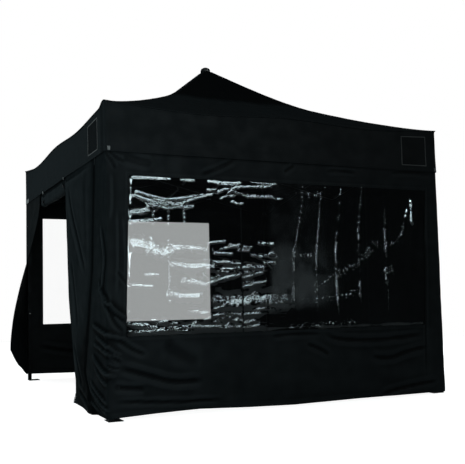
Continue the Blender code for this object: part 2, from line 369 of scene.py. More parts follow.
def tube_along(path: np.ndarray, radius: float, sides: int = 8, closed: bool = False) -> bmesh.types.BMesh:
    """A round tube that follows a path.

    Args:
        path: Rows of points, with the first repeated last if the tube closes on itself.
        radius: The tube's radius.
        sides: The number of faces round it.
        closed: Whether it has no ends.

    Returns:
        The tube's mesh.
    """
    ahead = np.roll(path, -1, axis=0) - np.roll(path, 1, axis=0)
    if closed:
        ahead[0] = ahead[-1] = path[1] - path[-2]
    else:
        ahead[0], ahead[-1] = path[1] - path[0], path[-1] - path[-2]
    ahead /= np.linalg.norm(ahead, axis=1)[:, None]
    level = np.cross(ahead, (0.0, 0.0, 1.0))
    flatness = np.linalg.norm(level, axis=1)[:, None]
    level = np.where(flatness > 0.05, level / np.maximum(flatness, 1e-9), (1.0, 0.0, 0.0))
    upper = np.cross(level, ahead)
    builder, flat = flat_cloth(np.arange(len(path), dtype=float), np.linspace(0, math.tau, sides + 1))
    row = flat[:, 0].astype(int)
    turn = flat[:, 1][:, None]
    points = path[row] + radius * (np.cos(turn) * level[row] + np.sin(turn) * upper[row])
    set_points(builder, points)
    bmesh.ops.remove_doubles(builder, verts=builder.verts, dist=radius * 0.01)
    if not closed:
        bmesh.ops.holes_fill(builder, edges=builder.edges, sides=sides)
    bmesh.ops.recalc_face_normals(builder, faces=builder.faces)
    return builder


def soft_box(size: tuple[float, float, float], centre: tuple[float, float, float], edge: float) -> bmesh.types.BMesh:
    """A box with rounded edges.

    Args:
        size: Its length each way.
        centre: The place of its middle.
        edge: How far the rounding reaches.

    Returns:
        The box's mesh.
    """
    builder = bmesh.new()
    bmesh.ops.create_cube(builder, size=1.0)
    bmesh.ops.scale(builder, vec=size, verts=builder.verts)
    bmesh.ops.bevel(
        builder, geom=builder.edges[:], offset=edge, affect="EDGES", segments=2, profile=0.5, material=-1
    )
    bmesh.ops.translate(builder, vec=centre, verts=builder.verts)
    return builder


def merge_meshes(builders: Iterable[bmesh.types.BMesh]) -> bmesh.types.BMesh:
    """Puts several meshes into one, and frees them."""
    whole = bmesh.new()
    for builder in builders:
        part = bpy.data.meshes.new("part")
        builder.to_mesh(part)
        builder.free()
        whole.from_mesh(part)
        bpy.data.meshes.remove(part)
    return whole


# Materials


class Wire:
    """One output socket, with arithmetic that adds Math nodes."""

    def __init__(self, bench: "NodeBench", socket: bpy.types.NodeSocket) -> None:
        """Holds a socket of a node tree.

        Args:
            bench: The tree's bench.
            socket: The output socket.
        """
        self.bench = bench
        self.socket = socket

    def maths(self, operation: str, first: "Wire | float", second: "Wire | float") -> "Wire":
        """Adds one Math node on two values."""
        return self.bench.wire("ShaderNodeMath", {"operation": operation}, {0: first, 1: second})

    def __add__(self, other: "Wire | float") -> "Wire":
        """Adds."""
        return self.maths("ADD", self, other)

    def __radd__(self, other: float) -> "Wire":
        """Adds from the left."""
        return self.maths("ADD", other, self)

    def __sub__(self, other: "Wire | float") -> "Wire":
        """Subtracts."""
        return self.maths("SUBTRACT", self, other)

    def __rsub__(self, other: float) -> "Wire":
        """Is subtracted from a number."""
        return self.maths("SUBTRACT", other, self)

    def __mul__(self, other: "Wire | float") -> "Wire":
        """Multiplies."""
        return self.maths("MULTIPLY", self, other)

    def __rmul__(self, other: float) -> "Wire":
        """Multiplies from the left."""
        return self.maths("MULTIPLY", other, self)

    def sine(self) -> "Wire":
        """The sine of the value."""
        return self.maths("SINE", self, 0.0)

    def span(self, low: float, high: float, new_low: float = 0.0, new_high: float = 1.0) -> "Wire":
        """Stretches a span of values smoothly to a new one, and holds what lies past it."""
        return self.bench.wire(
            "ShaderNodeMapRange",
            {"interpolation_type": "SMOOTHSTEP", "clamp": True},
            {0: self, 1: low, 2: high, 3: new_low, 4: new_high},
        )


class NodeBench:
    """The node tree of one material, with one way to add any node."""

    def __init__(self, name: str) -> None:
        """Starts an empty material.

        Args:
            name: The material's name.
        """
        self.material = bpy.data.materials.new(name)
        self.material.use_nodes = True
        self.tree = self.material.node_tree
        self.tree.nodes.clear()

    def add(self, kind: str, settings: dict | None = None, inputs: dict | None = None) -> bpy.types.Node:
        """Adds a node.

        Args:
            kind: The node's type.
            settings: Its own settings, which are set first.
            inputs: The values or links of its sockets, by name or number.

        Returns:
            The node.
        """
        node = self.tree.nodes.new(kind)
        for name, value in (settings or {}).items():
            setattr(node, name, value)
        for key, value in (inputs or {}).items():
            if isinstance(value, Wire):
                self.tree.links.new(value.socket, node.inputs[key])
            else:
                node.inputs[key].default_value = value
        return node

    def wire(self, kind: str, settings: dict | None = None, inputs: dict | None = None, output: int | str = 0) -> Wire:
        """Adds a node and returns one of its outputs."""
        return Wire(self, self.add(kind, settings, inputs).outputs[output])

    def place(self) -> Wire:
        """The point on the piece, in the model's own space."""
        return self.wire("ShaderNodeTexCoord", output="Object")

    def axes(self) -> tuple[Wire, Wire, Wire]:
        """The point's x, y and z."""
        node = self.add("ShaderNodeSeparateXYZ", inputs={0: self.place()})
        return Wire(self, node.outputs[0]), Wire(self, node.outputs[1]), Wire(self, node.outputs[2])

    def stretched(self, scale: tuple[float, float, float]) -> Wire:
        """The point with each axis scaled."""
        return self.wire("ShaderNodeMapping", inputs={"Vector": self.place(), "Scale": scale})

    def noise(self, scale: float, detail: float = 2.0, where: Wire | None = None) -> Wire:
        """Noise of a given scale over the piece."""
        inputs = {"Vector": where or self.place(), "Scale": scale, "Detail": detail}
        return self.wire("ShaderNodeTexNoise", inputs=inputs, output="Fac")

    def attribute(self, name: str) -> Wire:
        """A number that the mesh carries at each vertex."""
        return self.wire("ShaderNodeAttribute", {"attribute_name": name}, output="Fac")

    def colours(self, share: Wire, low: Sequence[float], high: "Sequence[float] | Wire") -> Wire:
        """Mixes two colours by a share."""
        high = high if isinstance(high, Wire) else (*high, 1.0)
        return self.wire("ShaderNodeMix", {"data_type": "RGBA"}, {0: share, 6: (*low, 1.0), 7: high}, output=2)

    def bump(self, height: Wire, strength: float, distance: float) -> Wire:
        """Fine relief for the Normal socket."""
        return self.wire("ShaderNodeBump", inputs={"Strength": strength, "Distance": distance, "Height": height})

    def finish(self, shader: bpy.types.Node) -> bpy.types.Material:
        """Links the last shader and returns the material."""
        output = self.tree.nodes.new("ShaderNodeOutputMaterial")
        self.tree.links.new(shader.outputs[0], output.inputs[0])
        return self.material


@dataclass(frozen=True)
class ClothFinish:
    """Coated polyester cloth with a fine plain weave, whose colour carries painted highlights on its ridges and painted
    shade in its folds, corners and recesses, read from the fold attribute.
    """

    name: str
    colour: tuple[float, float, float]
    # rubbed is the paler colour: random tone from the noise, and painted highlight where the fold attribute is above
    # nought.
    rubbed: tuple[float, float, float]
    roughness: float = 0.72
    sheen: float = 0.0

    def make(self) -> bpy.types.Material:
        """Builds the material."""
        bench = NodeBench(self.name)
        x, y, z = bench.axes()
        weave = ((x + y) * 2600.0).sine() * (z * 2600.0).sine() + 0.4 * ((x - y) * 1900.0).sine()
        cloudy = bench.noise(1.6, 3.0)
        handled = bench.noise(8.0, 1.5)
        # Painted light: the fold attribute moves the colour towards rubbed as a painted highlight and, below nought,
        # towards the darker colour as painted shade; unlit is a still darker copy of the cloth, painted shade for
        # grooves and recesses.
        share = (cloudy * 0.65 + handled * 0.35 + bench.attribute("fold") * 0.4).span(0.1, 0.9)
        unlit = tuple(0.35 * part for part in self.colour)
        colour = bench.colours(bench.attribute("fold").span(-2.2, -1.0), unlit, bench.colours(share, self.colour, self.rubbed))
        height = weave * 0.06 + handled * 0.8
        shader = bench.add(
            "ShaderNodeBsdfPrincipled",
            inputs={
                "Base Color": colour,
                "Roughness": handled.span(0.3, 0.7, self.roughness + 0.08, self.roughness - 0.08),
                "Specular IOR Level": 0.045,
                "Sheen Weight": self.sheen,
                "Normal": bench.bump(height, 0.35, 0.002),
            },
        )
        return bench.finish(shader)


@dataclass(frozen=True)
class FilmFinish:
    """Clear window film: its tint lets the light through, and its skin mirrors and hazes."""

    name: str
    tint: tuple[float, float, float]
    skin: float
    haze: float
    milky_patch: tuple[float, float, float, float] | None = None

    def milky_patch_share(self, bench: NodeBench) -> Wire | float:
        """The milky patch on the film, from 0 outside it to 1."""
        if self.milky_patch is None:
            return 0.0
        left, right, low, high = self.milky_patch
        x, _, z = bench.axes()
        patch = x.span(left - 0.03, left + 0.03) * x.span(left + 0.2, right, 1.0, 0.0)
        return patch * z.span(low - 0.05, low + 0.1) * z.span(high - 0.3, high, 1.0, 0.25) * bench.noise(6.0).span(0.28, 0.62, 0.25, 1.0)

    def make(self) -> bpy.types.Material:
        """Builds the material."""
        bench = NodeBench(self.name)
        smudges = bench.noise(2.2, 4.0, bench.stretched((1.0, 1.0, 1.6)))
        rubs = bench.noise(14.0, 3.0, bench.stretched((0.5, 0.5, 2.0)))
        pits = bench.noise(75.0, 3.0)
        dusty = (smudges * 0.7 + rubs * 0.3).span(0.42, 0.72)
        # The fold attribute carries wear, which deepens the pits of the bump, and from 1 to 2 the white painted along
        # creases, partly stress whitening and partly painted highlight, which makes the skin milky and stronger.
        worn = bench.attribute("fold")
        whitening_and_highlight = worn.span(1.0, 2.0)
        milky = self.milky_patch_share(bench) + dusty * self.haze + whitening_and_highlight
        skin = bench.add(
            "ShaderNodeBsdfPrincipled",
            inputs={
                "Base Color": (0.86, 0.94, 0.97, 1.0),
                "Metallic": (1.0 - milky * 0.95).span(0.0, 1.0),
                "Roughness": dusty.span(0.0, 1.0, 0.03, 0.09),
                "Normal": bench.bump(pits * worn.span(0.0, 1.0, 0.10, 2.3) + rubs * 0.3, 0.7, 0.0022),
            },
        )
        clear = bench.add("ShaderNodeBsdfTransparent", inputs={"Color": (*self.tint, 1.0)})
        share = dusty.span(0.0, 1.0, self.skin, self.skin * 1.25) + whitening_and_highlight * 0.5
        mixed = bench.add("ShaderNodeMixShader", inputs={0: share})
        bench.tree.links.new(clear.outputs[0], mixed.inputs[1])
        bench.tree.links.new(skin.outputs[0], mixed.inputs[2])
        return bench.finish(mixed)


@dataclass(frozen=True)
class MetalFinish:
    """Drawn metal with fine lines along it and duller handled patches."""

    name: str
    colour: tuple[float, float, float]
    roughness: float
    grain: tuple[float, float, float] = (300.0, 300.0, 4.0)

    def make(self) -> bpy.types.Material:
        """Builds the material."""
        bench = NodeBench(self.name)
        lines = bench.noise(1.0, 2.0, bench.stretched(self.grain))
        dull = bench.noise(9.0, 4.0)
        low = tuple(0.78 * part for part in self.colour)
        shader = bench.add(
            "ShaderNodeBsdfPrincipled",
            inputs={
                "Base Color": bench.colours((lines * 0.4 + dull * 0.6).span(0.3, 0.7), low, self.colour),
                "Metallic": 1.0,
                "Roughness": dull.span(0.3, 0.7, self.roughness - 0.06, self.roughness + 0.12),
                "Normal": bench.bump(lines, 0.12, 0.0005),
            },
        )
        return bench.finish(shader)


@dataclass(frozen=True)
class PlasticFinish:
    """Moulded plastic with a fine spark-eroded grain."""

    name: str
    colour: tuple[float, float, float]
    roughness: float = 0.5

    def make(self) -> bpy.types.Material:
        """Builds the material."""
        bench = NodeBench(self.name)
        grain = bench.noise(900.0, 2.0)
        scuffs = bench.noise(30.0, 5.0)
        high = tuple(1.5 * part for part in self.colour)
        shader = bench.add(
            "ShaderNodeBsdfPrincipled",
            inputs={
                "Base Color": bench.colours(scuffs.span(0.45, 0.7), self.colour, high),
                "Roughness": scuffs.span(0.3, 0.7, self.roughness + 0.08, self.roughness - 0.08),
                "Normal": bench.bump(grain, 0.2, 0.0004),
            },
        )
        return bench.finish(shader)


class Finishes:
    """Every finish of the tent, made once."""

    def __init__(self) -> None:
        """Makes the materials."""
        self.roof = ClothFinish("roof_cloth", (0.0078, 0.0098, 0.0108), (0.0142, 0.0176, 0.0192)).make()
        self.wall = ClothFinish("wall_cloth", (0.0064, 0.0088, 0.0098), (0.0148, 0.0188, 0.0206)).make()
        self.coated = ClothFinish("wall_cloth_inside", (0.0064, 0.0078, 0.0084), (0.012, 0.0142, 0.015), 0.5).make()
        self.tape = ClothFinish("webbing_tape", (0.006, 0.0072, 0.008), (0.011, 0.013, 0.014), 0.8).make()
        self.thread = ClothFinish("sewing_thread", (0.012, 0.014, 0.015), (0.02, 0.023, 0.024), 0.6).make()
        self.edging = ClothFinish("patch_edging", (0.08, 0.084, 0.084), (0.14, 0.145, 0.145), 0.7).make()
        self.pale_tape = ClothFinish("pale_webbing", (0.14, 0.15, 0.15), (0.25, 0.26, 0.26), 0.8).make()
        milky_patch = (-0.05, 0.72, 0.74, 1.36)
        self.front_film = FilmFinish("front_window_film", (0.365, 0.38, 0.38), 0.085, 0.05, milky_patch).make()
        self.back_film = FilmFinish("back_window_film", (0.985, 0.99, 0.99), 0.04, 0.05).make()
        self.tube = MetalFinish("coated_tube", (0.014, 0.015, 0.016), 0.36).make()
        self.bar = MetalFinish("coated_bar", (0.03, 0.032, 0.034), 0.38, (60.0, 60.0, 300.0)).make()
        self.steel = MetalFinish("zinc_plated_steel", (0.62, 0.62, 0.6), 0.3, (120.0, 120.0, 120.0)).make()
        self.bracket = PlasticFinish("bracket_plastic", (0.022, 0.022, 0.024)).make()
        self.cap = PlasticFinish("cap_plastic", (0.012, 0.013, 0.013), 0.6).make()


# Finished pieces


@dataclass
class Piece:
    """What a finished piece needs besides its shape."""

    name: str
    materials: Sequence[bpy.types.Material]
    slot: str
    replaces: Sequence[str] = ()
    thickness: float = 0.0
    body: str = BODY


def finish_piece(builder: bmesh.types.BMesh, piece: Piece) -> bpy.types.Object:
    """Makes an object of a mesh, gives it its finish and lets it ride on its body.

    Args:
        builder: The shape, about the middle of the footprint.
        piece: Its name, finish and what it stands for.

    Returns:
        The object.
    """
    bmesh.ops.translate(builder, vec=FOOTPRINT_MIDDLE, verts=builder.verts)
    mesh = bpy.data.meshes.new(piece.name)
    for face in builder.faces:
        face.smooth = True
    builder.to_mesh(mesh)
    builder.free()
    for material in piece.materials:
        mesh.materials.append(material)
    item = bpy.data.objects.new(piece.name, mesh)
    bpy.context.scene.collection.objects.link(item)
    if piece.thickness:
        solid = item.modifiers.new("cloth_thickness", "SOLIDIFY")
        solid.thickness = piece.thickness
        solid.offset = 0.0
        solid.material_offset = len(piece.materials) - 1
    weighted = item.modifiers.new("even_shading", "WEIGHTED_NORMAL")
    weighted.mode = "FACE_AREA"
    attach(item, piece.body)
    if piece.replaces:
        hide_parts(*piece.replaces)
    LOG.info("%s: %d faces", piece.name, len(mesh.polygons))
    return item


# Roof and valance


@dataclass
class RoofCloth:
    """The roof: one cloth of four panels with a steep middle, drawn down to the eave."""

    finishes: Finishes
    columns: int = 110
    rows: int = 84
    hole: float = 0.034
    panel_sag: float = 0.014
    left_dip: float = 0.026
    corner_lift: float = 0.010
    thickness: float = 0.0016
    seam_width: float = 0.011
    seam_lift: float = 0.0022
    piping_radius: float = 0.0045
    ripple: CreaseNoise = field(default_factory=lambda: CreaseNoise(11))

    def hip_height(self, distance: np.ndarray) -> np.ndarray:
        """The roof's height over a hip at a distance from the mast."""
        cone = TENT.cone_top - TENT.cone_slope * distance
        run = np.maximum(TENT.half * math.sqrt(2) - distance, 0.0) / TENT.skirt_run
        skirt = TENT.eave + TENT.skirt_rise * run**TENT.skirt_power
        return (cone + skirt + np.hypot(cone - skirt, TENT.kink_softness)) / 2 - TENT.kink_softness**2 / 2

    def height(self, x: np.ndarray, y: np.ndarray) -> np.ndarray:
        """The cloth's height at a place in plan."""
        reach = np.maximum(np.abs(x), np.abs(y))
        across = np.minimum(np.abs(x), np.abs(y)) / np.maximum(reach, 1e-6)
        out = np.clip(reach / TENT.half, 0.0, 1.0)
        height = self.hip_height(reach * math.sqrt(2))
        height -= TENT.eave_dip * np.sin(math.pi * across) ** 2 * out**2
        height -= self.left_dip * ease((-x - np.abs(y)) / 0.12) * ease((1 - across) / 0.06) * out**4
        height += self.corner_lift * hump(1 - across, 0.05) * out**8
        height -= self.panel_sag * (1 - across**2) * np.sin(math.pi * out)
        turn = np.arctan2(y, x)
        radial = self.ripple.at(turn * 5.5 + 40.0, reach * 1.3 + 3.0)
        height += 0.0045 * radial * np.sin(math.pi * out) ** 0.7
        height += 0.0022 * self.ripple.at(x * 3.1 + 20.0, y * 3.1 + 20.0) * np.sin(math.pi * out)
        kink = hump(reach - 0.64, 0.09)
        height += 0.003 * kink * self.ripple.at(turn * 14.0 + 70.0, reach * 4.0)
        pucker = hump((1 - across) * reach, 0.06) * self.ripple.at(reach * 16.0 + 9.0, (1 - across) * 4.0)
        return height + 0.0016 * pucker * np.sin(math.pi * out)

    def build(self) -> None:
        """Makes the cloth, its hip seams and the piping along the eave."""
        self.add_cloth()
        self.add_hip_seams()
        self.add_piping()

    def add_cloth(self) -> None:
        """Makes the four panels as one sheet."""
        builder, flat = flat_cloth(np.linspace(-1, 1, self.columns + 1), np.linspace(0, 1, self.rows + 1))
        reach = self.hole + (TENT.half - self.hole) * (1 - flat[:, 1])
        set_points(builder, np.stack([flat[:, 0] * reach, -reach, np.zeros_like(reach)], axis=1))
        panel = builder.faces[:] + builder.edges[:] + builder.verts[:]
        for turn in (Side.RIGHT, Side.BACK, Side.LEFT):
            copied = bmesh.ops.duplicate(builder, geom=panel)["geom"]
            moved = [part for part in copied if isinstance(part, bmesh.types.BMVert)]
            angle = math.radians(turn.value)
            bmesh.ops.rotate(builder, verts=moved, cent=(0, 0, 0), matrix=Matrix.Rotation(angle, 3, "Z"))
        bmesh.ops.remove_doubles(builder, verts=builder.verts, dist=0.00005)
        points = np.array([vertex.co for vertex in builder.verts])
        points[:, 2] = self.height(points[:, 0], points[:, 1])
        set_points(builder, points)
        reach = np.maximum(np.abs(points[:, 0]), np.abs(points[:, 1]))
        # Painted light: the gentle outer slopes are painted paler, a painted highlight, and the steep cone darker,
        # painted shade.
        set_shade(builder, 1.1 * ease((reach - 0.58) / 0.12) - 1.9 * ease((0.66 - reach) / 0.1))
        sheet = finish_piece(
            builder,
            Piece(
                "roof_cloth",
                [self.finishes.roof],
                "canopy_cloth",
                ["roof_front", "roof_right", "roof_back", "roof_left"],
                self.thickness,
            ),
        )

    def add_hip_seams(self) -> None:
        """Makes the felled seams that lie over the four hips."""
        strips = []
        for quarter in range(4):
            along = np.linspace(0.06, TENT.half * math.sqrt(2) - 0.004, 150)
            builder, flat = flat_cloth(along, np.linspace(-1, 1, 7))
            turn = math.radians(45 + 90 * quarter)
            beside = flat[:, 1] * self.seam_width
            x = flat[:, 0] * math.cos(turn) - beside * math.sin(turn)
            y = flat[:, 0] * math.sin(turn) + beside * math.cos(turn)
            lift = self.seam_lift * (1 - flat[:, 1] ** 4) + 0.0004
            pucker = 0.0004 * np.sin(flat[:, 0] * 700.0) * (1 - flat[:, 1] ** 2)
            set_points(builder, np.stack([x, y, self.height(x, y) + lift + pucker], axis=1))
            strips.append(builder)
        finish_piece(merge_meshes(strips), Piece("roof_hip_seams", [self.finishes.roof], "canopy_cloth", thickness=0.001))

    def add_piping(self) -> None:
        """Makes the corded seam between the roof and the valance."""
        step = np.linspace(-TENT.half, TENT.half, 121)[:-1]
        lines = []
        for side in Side:
            level = np.stack([step, np.full_like(step, -TENT.half), np.zeros_like(step)], axis=1)
            lines.append(side.place(level))
        loop = np.concatenate([*lines, lines[0][:1]])
        placed, facing = round_corners(loop[:, 0], loop[:, 1], TENT.half, 0.024)
        height = self.height(np.clip(loop[:, 0], -1.499, 1.499), np.clip(loop[:, 1], -1.499, 1.499))
        path = np.column_stack([placed + facing * 0.0015, height - 0.002])
        tube = tube_along(path, self.piping_radius, 8, closed=True)
        finish_piece(tube, Piece("eave_piping", [self.finishes.roof], "canopy_cloth"))


@dataclass
class ValanceBand:
    """The band of cloth that hangs from the eave round all four sides."""

    finishes: Finishes
    roof: RoofCloth
    spacing: float = 0.019
    plane: float = 1.4975
    corner_radius: float = 0.024
    thickness: float = 0.0014
    hem: float = 0.024
    ripple: CreaseNoise = field(default_factory=lambda: CreaseNoise(23))

    def folds(self) -> dict[Side, tuple[Fold, ...]]:
        """The creases that stay in the band on each side."""
        front = (
            Fold(((-1.16, 1.944), (-0.85, 1.95), (-0.547, 1.962)), 0.0035, 0.010, FoldKind.LEDGE),
            Fold(((-0.334, 1.952), (-0.18, 1.947), (-0.022, 1.956)), 0.003, 0.010, FoldKind.LEDGE),
            Fold(((0.45, 2.02), (0.8, 2.0), (1.1, 2.03)), 0.003, 0.03),
            Fold(((-1.46, 2.16), (-1.38, 2.05), (-1.36, 1.94)), 0.003, 0.03),
        )
        left = (
            Fold(((-0.66, 1.895), (-0.655, 1.964), (-0.604, 2.006), (-0.377, 1.999), (-0.204, 1.975)), 0.005, 0.014),
            Fold(((0.3, 1.95), (0.7, 1.965), (1.1, 1.95)), 0.003, 0.02),
        )
        plain = (
            Fold(((-1.1, 1.95), (-0.7, 1.965), (-0.3, 1.95)), 0.003, 0.012, FoldKind.LEDGE),
            Fold(((0.3, 2.0), (0.7, 1.98), (1.2, 2.01)), 0.003, 0.03),
        )
        return {Side.FRONT: front, Side.LEFT: left, Side.RIGHT: plain, Side.BACK: plain}

    def columns(self) -> np.ndarray:
        """The places of the band's upright lines on one side."""
        return stops_to_lines([-TENT.half, -1.46, 1.46, TENT.half], self.spacing)

    def drape(self, side: Side, place: np.ndarray, share: np.ndarray, lift: float = 0.0) -> np.ndarray:
        """Hangs points of the band on one side.

        Args:
            side: The side.
            place: How far along each point is.
            share: How far up the band each point is, from 0 at its hem to 1.
            lift: How far proud of the cloth the points stand.

        Returns:
            The points.
        """
        along = self.columns()
        passed = (side.value // 90) * (len(along) - 1) + np.interp(place, along, np.arange(len(along)))
        edge = side.place(np.stack([place, np.full_like(place, -1.499), place], axis=1))
        top = self.roof.height(edge[:, 0], edge[:, 1]) - 0.003
        height = TENT.valance_bottom + (top - TENT.valance_bottom) * share
        down = 1 - share
        out = 0.007 * down * self.ripple.at(passed * self.spacing * 1.5, height * 0.7)
        out += 0.0022 * self.ripple.at(passed * self.spacing * 5.0, height * 6.0 + 4.0) * down**0.5
        out += np.where(height < TENT.valance_bottom + self.hem, 0.0009, 0.0)
        out += fold_relief(np.stack([place, height], axis=1), self.folds()[side])
        placed, facing = round_corners(place, np.full_like(place, -self.plane), self.plane, self.corner_radius)
        level = placed + facing * (np.maximum(out, -0.0025) + lift)[:, None]
        return side.place(np.column_stack([level, height]))

    def build(self) -> None:
        """Makes the band as one closed loop of cloth, with its stitching and its two plain patches."""
        along = self.columns()
        count = len(along) - 1
        share = stops_to_lines([0.0, self.hem / 0.35, 1.0], 0.055)
        builder, flat = flat_cloth(np.arange(4 * count + 1, dtype=float), share)
        column = flat[:, 0].astype(int) % (4 * count)
        points, shade = np.zeros((len(flat), 3)), np.zeros(len(flat))
        for side in Side:
            here = column // count == side.value // 90
            place = along[column[here] % count]
            points[here] = self.drape(side, place, flat[here, 1])
            # Painted light: the left side of the band is painted paler, a painted highlight, with a band of painted
            # shade just before its front corner.
            if side is Side.LEFT:
                shade[here] = 1.1 - 1.8 * hump(place - 1.44, 0.05)
        set_points(builder, points)
        set_shade(builder, shade)
        bmesh.ops.remove_doubles(builder, verts=builder.verts, dist=0.00005)
        band = finish_piece(
            builder,
            Piece(
                "valance_band",
                [self.finishes.roof],
                "canopy_cloth",
                ["valance_front", "valance_right", "valance_back", "valance_left"],
                self.thickness,
            ),
        )
        self.add_stitching()
        self.add_patches()

    def add_stitching(self) -> None:
        """Sews the hem of the band."""
        rows = []
        for side in Side:
            place = np.linspace(-1.47, 1.47, 300)
            row = self.drape(side, place, np.full_like(place, self.hem / 0.35 - 0.012), 0.0013)
            rows.append(sew_stitches(row, sheet_facing(row, side)))
        finish_piece(merge_meshes(rows), Piece("valance_stitches", [self.finishes.thread], "canopy_cloth"))

    def add_patches(self) -> None:
        """Makes the two plain patches with a narrow pale edging, one at each end of the band's front corner."""
        cloths, edgings = [], []
        for side, middle in ((Side.FRONT, 1.248), (Side.LEFT, 1.195)):
            for across, up, wide, tall, pieces, lift in (
                (0.0, 0.50, 0.25, 0.70, cloths, 0.0016),
                (-0.127, 0.50, 0.007, 0.72, edgings, 0.0021),
                (0.127, 0.50, 0.007, 0.72, edgings, 0.0021),
                (0.0, 0.14, 0.261, 0.02, edgings, 0.0021),
                (0.0, 0.86, 0.261, 0.02, edgings, 0.0021),
            ):
                columns = max(2, round(wide / 0.012)) + 1
                rows = max(2, round(tall * 0.35 / 0.012)) + 1
                builder, flat = flat_cloth(np.linspace(-0.5, 0.5, columns), np.linspace(-0.5, 0.5, rows))
                place, share = middle + across + wide * flat[:, 0], up + tall * flat[:, 1]
                set_points(builder, self.drape(side, place, share, lift))
                pieces.append(builder)
        for name, pieces, finish in (
            ("valance_patches", cloths, self.finishes.tape),
            ("valance_patch_edging", edgings, self.finishes.edging),
        ):
            finish_piece(merge_meshes(pieces), Piece(name, [finish], "canopy_cloth", thickness=0.001))


# Walls


def sew_stitches(path: np.ndarray, facing: np.ndarray, pitch: float = 0.006) -> bmesh.types.BMesh:
    """Sews a row of raised stitches along a path on a surface.

    Args:
        path: Rows of points on the surface.
        facing: The surface's outward direction at each point.
        pitch: The distance between stitches.

    Returns:
        The stitches' mesh.
    """
    lengths = np.concatenate([[0.0], np.cumsum(np.linalg.norm(np.diff(path, axis=0), axis=1))])
    stops = np.arange(pitch / 2, lengths[-1], pitch)
    places = np.stack([np.interp(stops, lengths, path[:, axis]) for axis in range(3)], axis=1)
    outward = np.stack([np.interp(stops, lengths, facing[:, axis]) for axis in range(3)], axis=1)
    ahead = np.gradient(places, axis=0)
    builder = bmesh.new()
    for place, out, step in zip(places, outward, ahead):
        run = Vector(step).normalized()
        rise = (Vector(out) - run * run.dot(Vector(out))).normalized()
        turn = Matrix((run, rise.cross(run), rise)).transposed().to_4x4()
        size = Matrix.Diagonal((pitch * 0.68, 0.0011, 0.0009, 1.0))
        bmesh.ops.create_cube(builder, size=1.0, matrix=Matrix.Translation(place) @ turn @ size)
    return builder


def sheet_facing(points: np.ndarray, side: Side) -> np.ndarray:
    """The outward direction of a side, repeated for each point."""
    return np.repeat(side.place(np.array([[0.0, -1.0, 0.0]])), len(points), axis=0)


def zip_coil(path: np.ndarray, sides: int = 6) -> bmesh.types.BMesh:
    """A zip's coil along an upright path, its teeth swelling and thinning by turns.

    Args:
        path: Rows of points along it.
        sides: The number of faces round it.

    Returns:
        The coil's mesh.
    """
    steps = np.linalg.norm(np.diff(path, axis=0), axis=1)
    count = int(steps.sum() / 0.0032)
    share = np.linspace(0, 1, count)
    passed = np.concatenate([[0.0], np.cumsum(steps)]) / steps.sum()
    fine = np.stack([np.interp(share, passed, path[:, axis]) for axis in range(3)], axis=1)
    coil = tube_along(fine, 0.0021, sides)
    swell = np.array([vertex.co for vertex in coil.verts])
    nearest = np.rint(np.interp(swell[:, 2], fine[:, 2], np.arange(count))).astype(int)
    centre = fine[np.clip(nearest, 0, count - 1)]
    set_points(coil, centre + (swell - centre) * np.where(nearest % 2 == 0, 1.35, 0.8)[:, None])
    return coil


def line_through(corners: Sequence[tuple[float, float]], spacing: float = 0.012) -> np.ndarray:
    """Closely spaced points along straight runs between corners."""
    points = np.array(corners, float)
    runs = []
    for start, end in zip(points, points[1:]):
        count = max(2, math.ceil(np.linalg.norm(end - start) / spacing))
        runs.append(start + (end - start) * np.linspace(0, 1, count, endpoint=False)[:, None])
    return np.concatenate([*runs, points[-1:]])


def fold_shade(flat: np.ndarray, out: np.ndarray) -> np.ndarray:
    """A number that is above nought on the ridges of a grid of cloth and below it in its folds: painted highlight on
    the ridges, painted shade in the folds.
    """
    columns, rows = len(np.unique(flat[:, 0])), len(np.unique(flat[:, 1]))
    order = np.lexsort((flat[:, 0], flat[:, 1]))
    grid = out[order].reshape(rows, columns)
    wide = grid.copy()
    for _ in range(6):
        wide = (wide + np.roll(wide, 1, 0) + np.roll(wide, -1, 0) + np.roll(wide, 1, 1) + np.roll(wide, -1, 1)) / 5
    shade = np.zeros(len(out))
    shade[order] = np.clip((grid - wide) / 0.0012, -1.9, 1.2).ravel()
    return shade


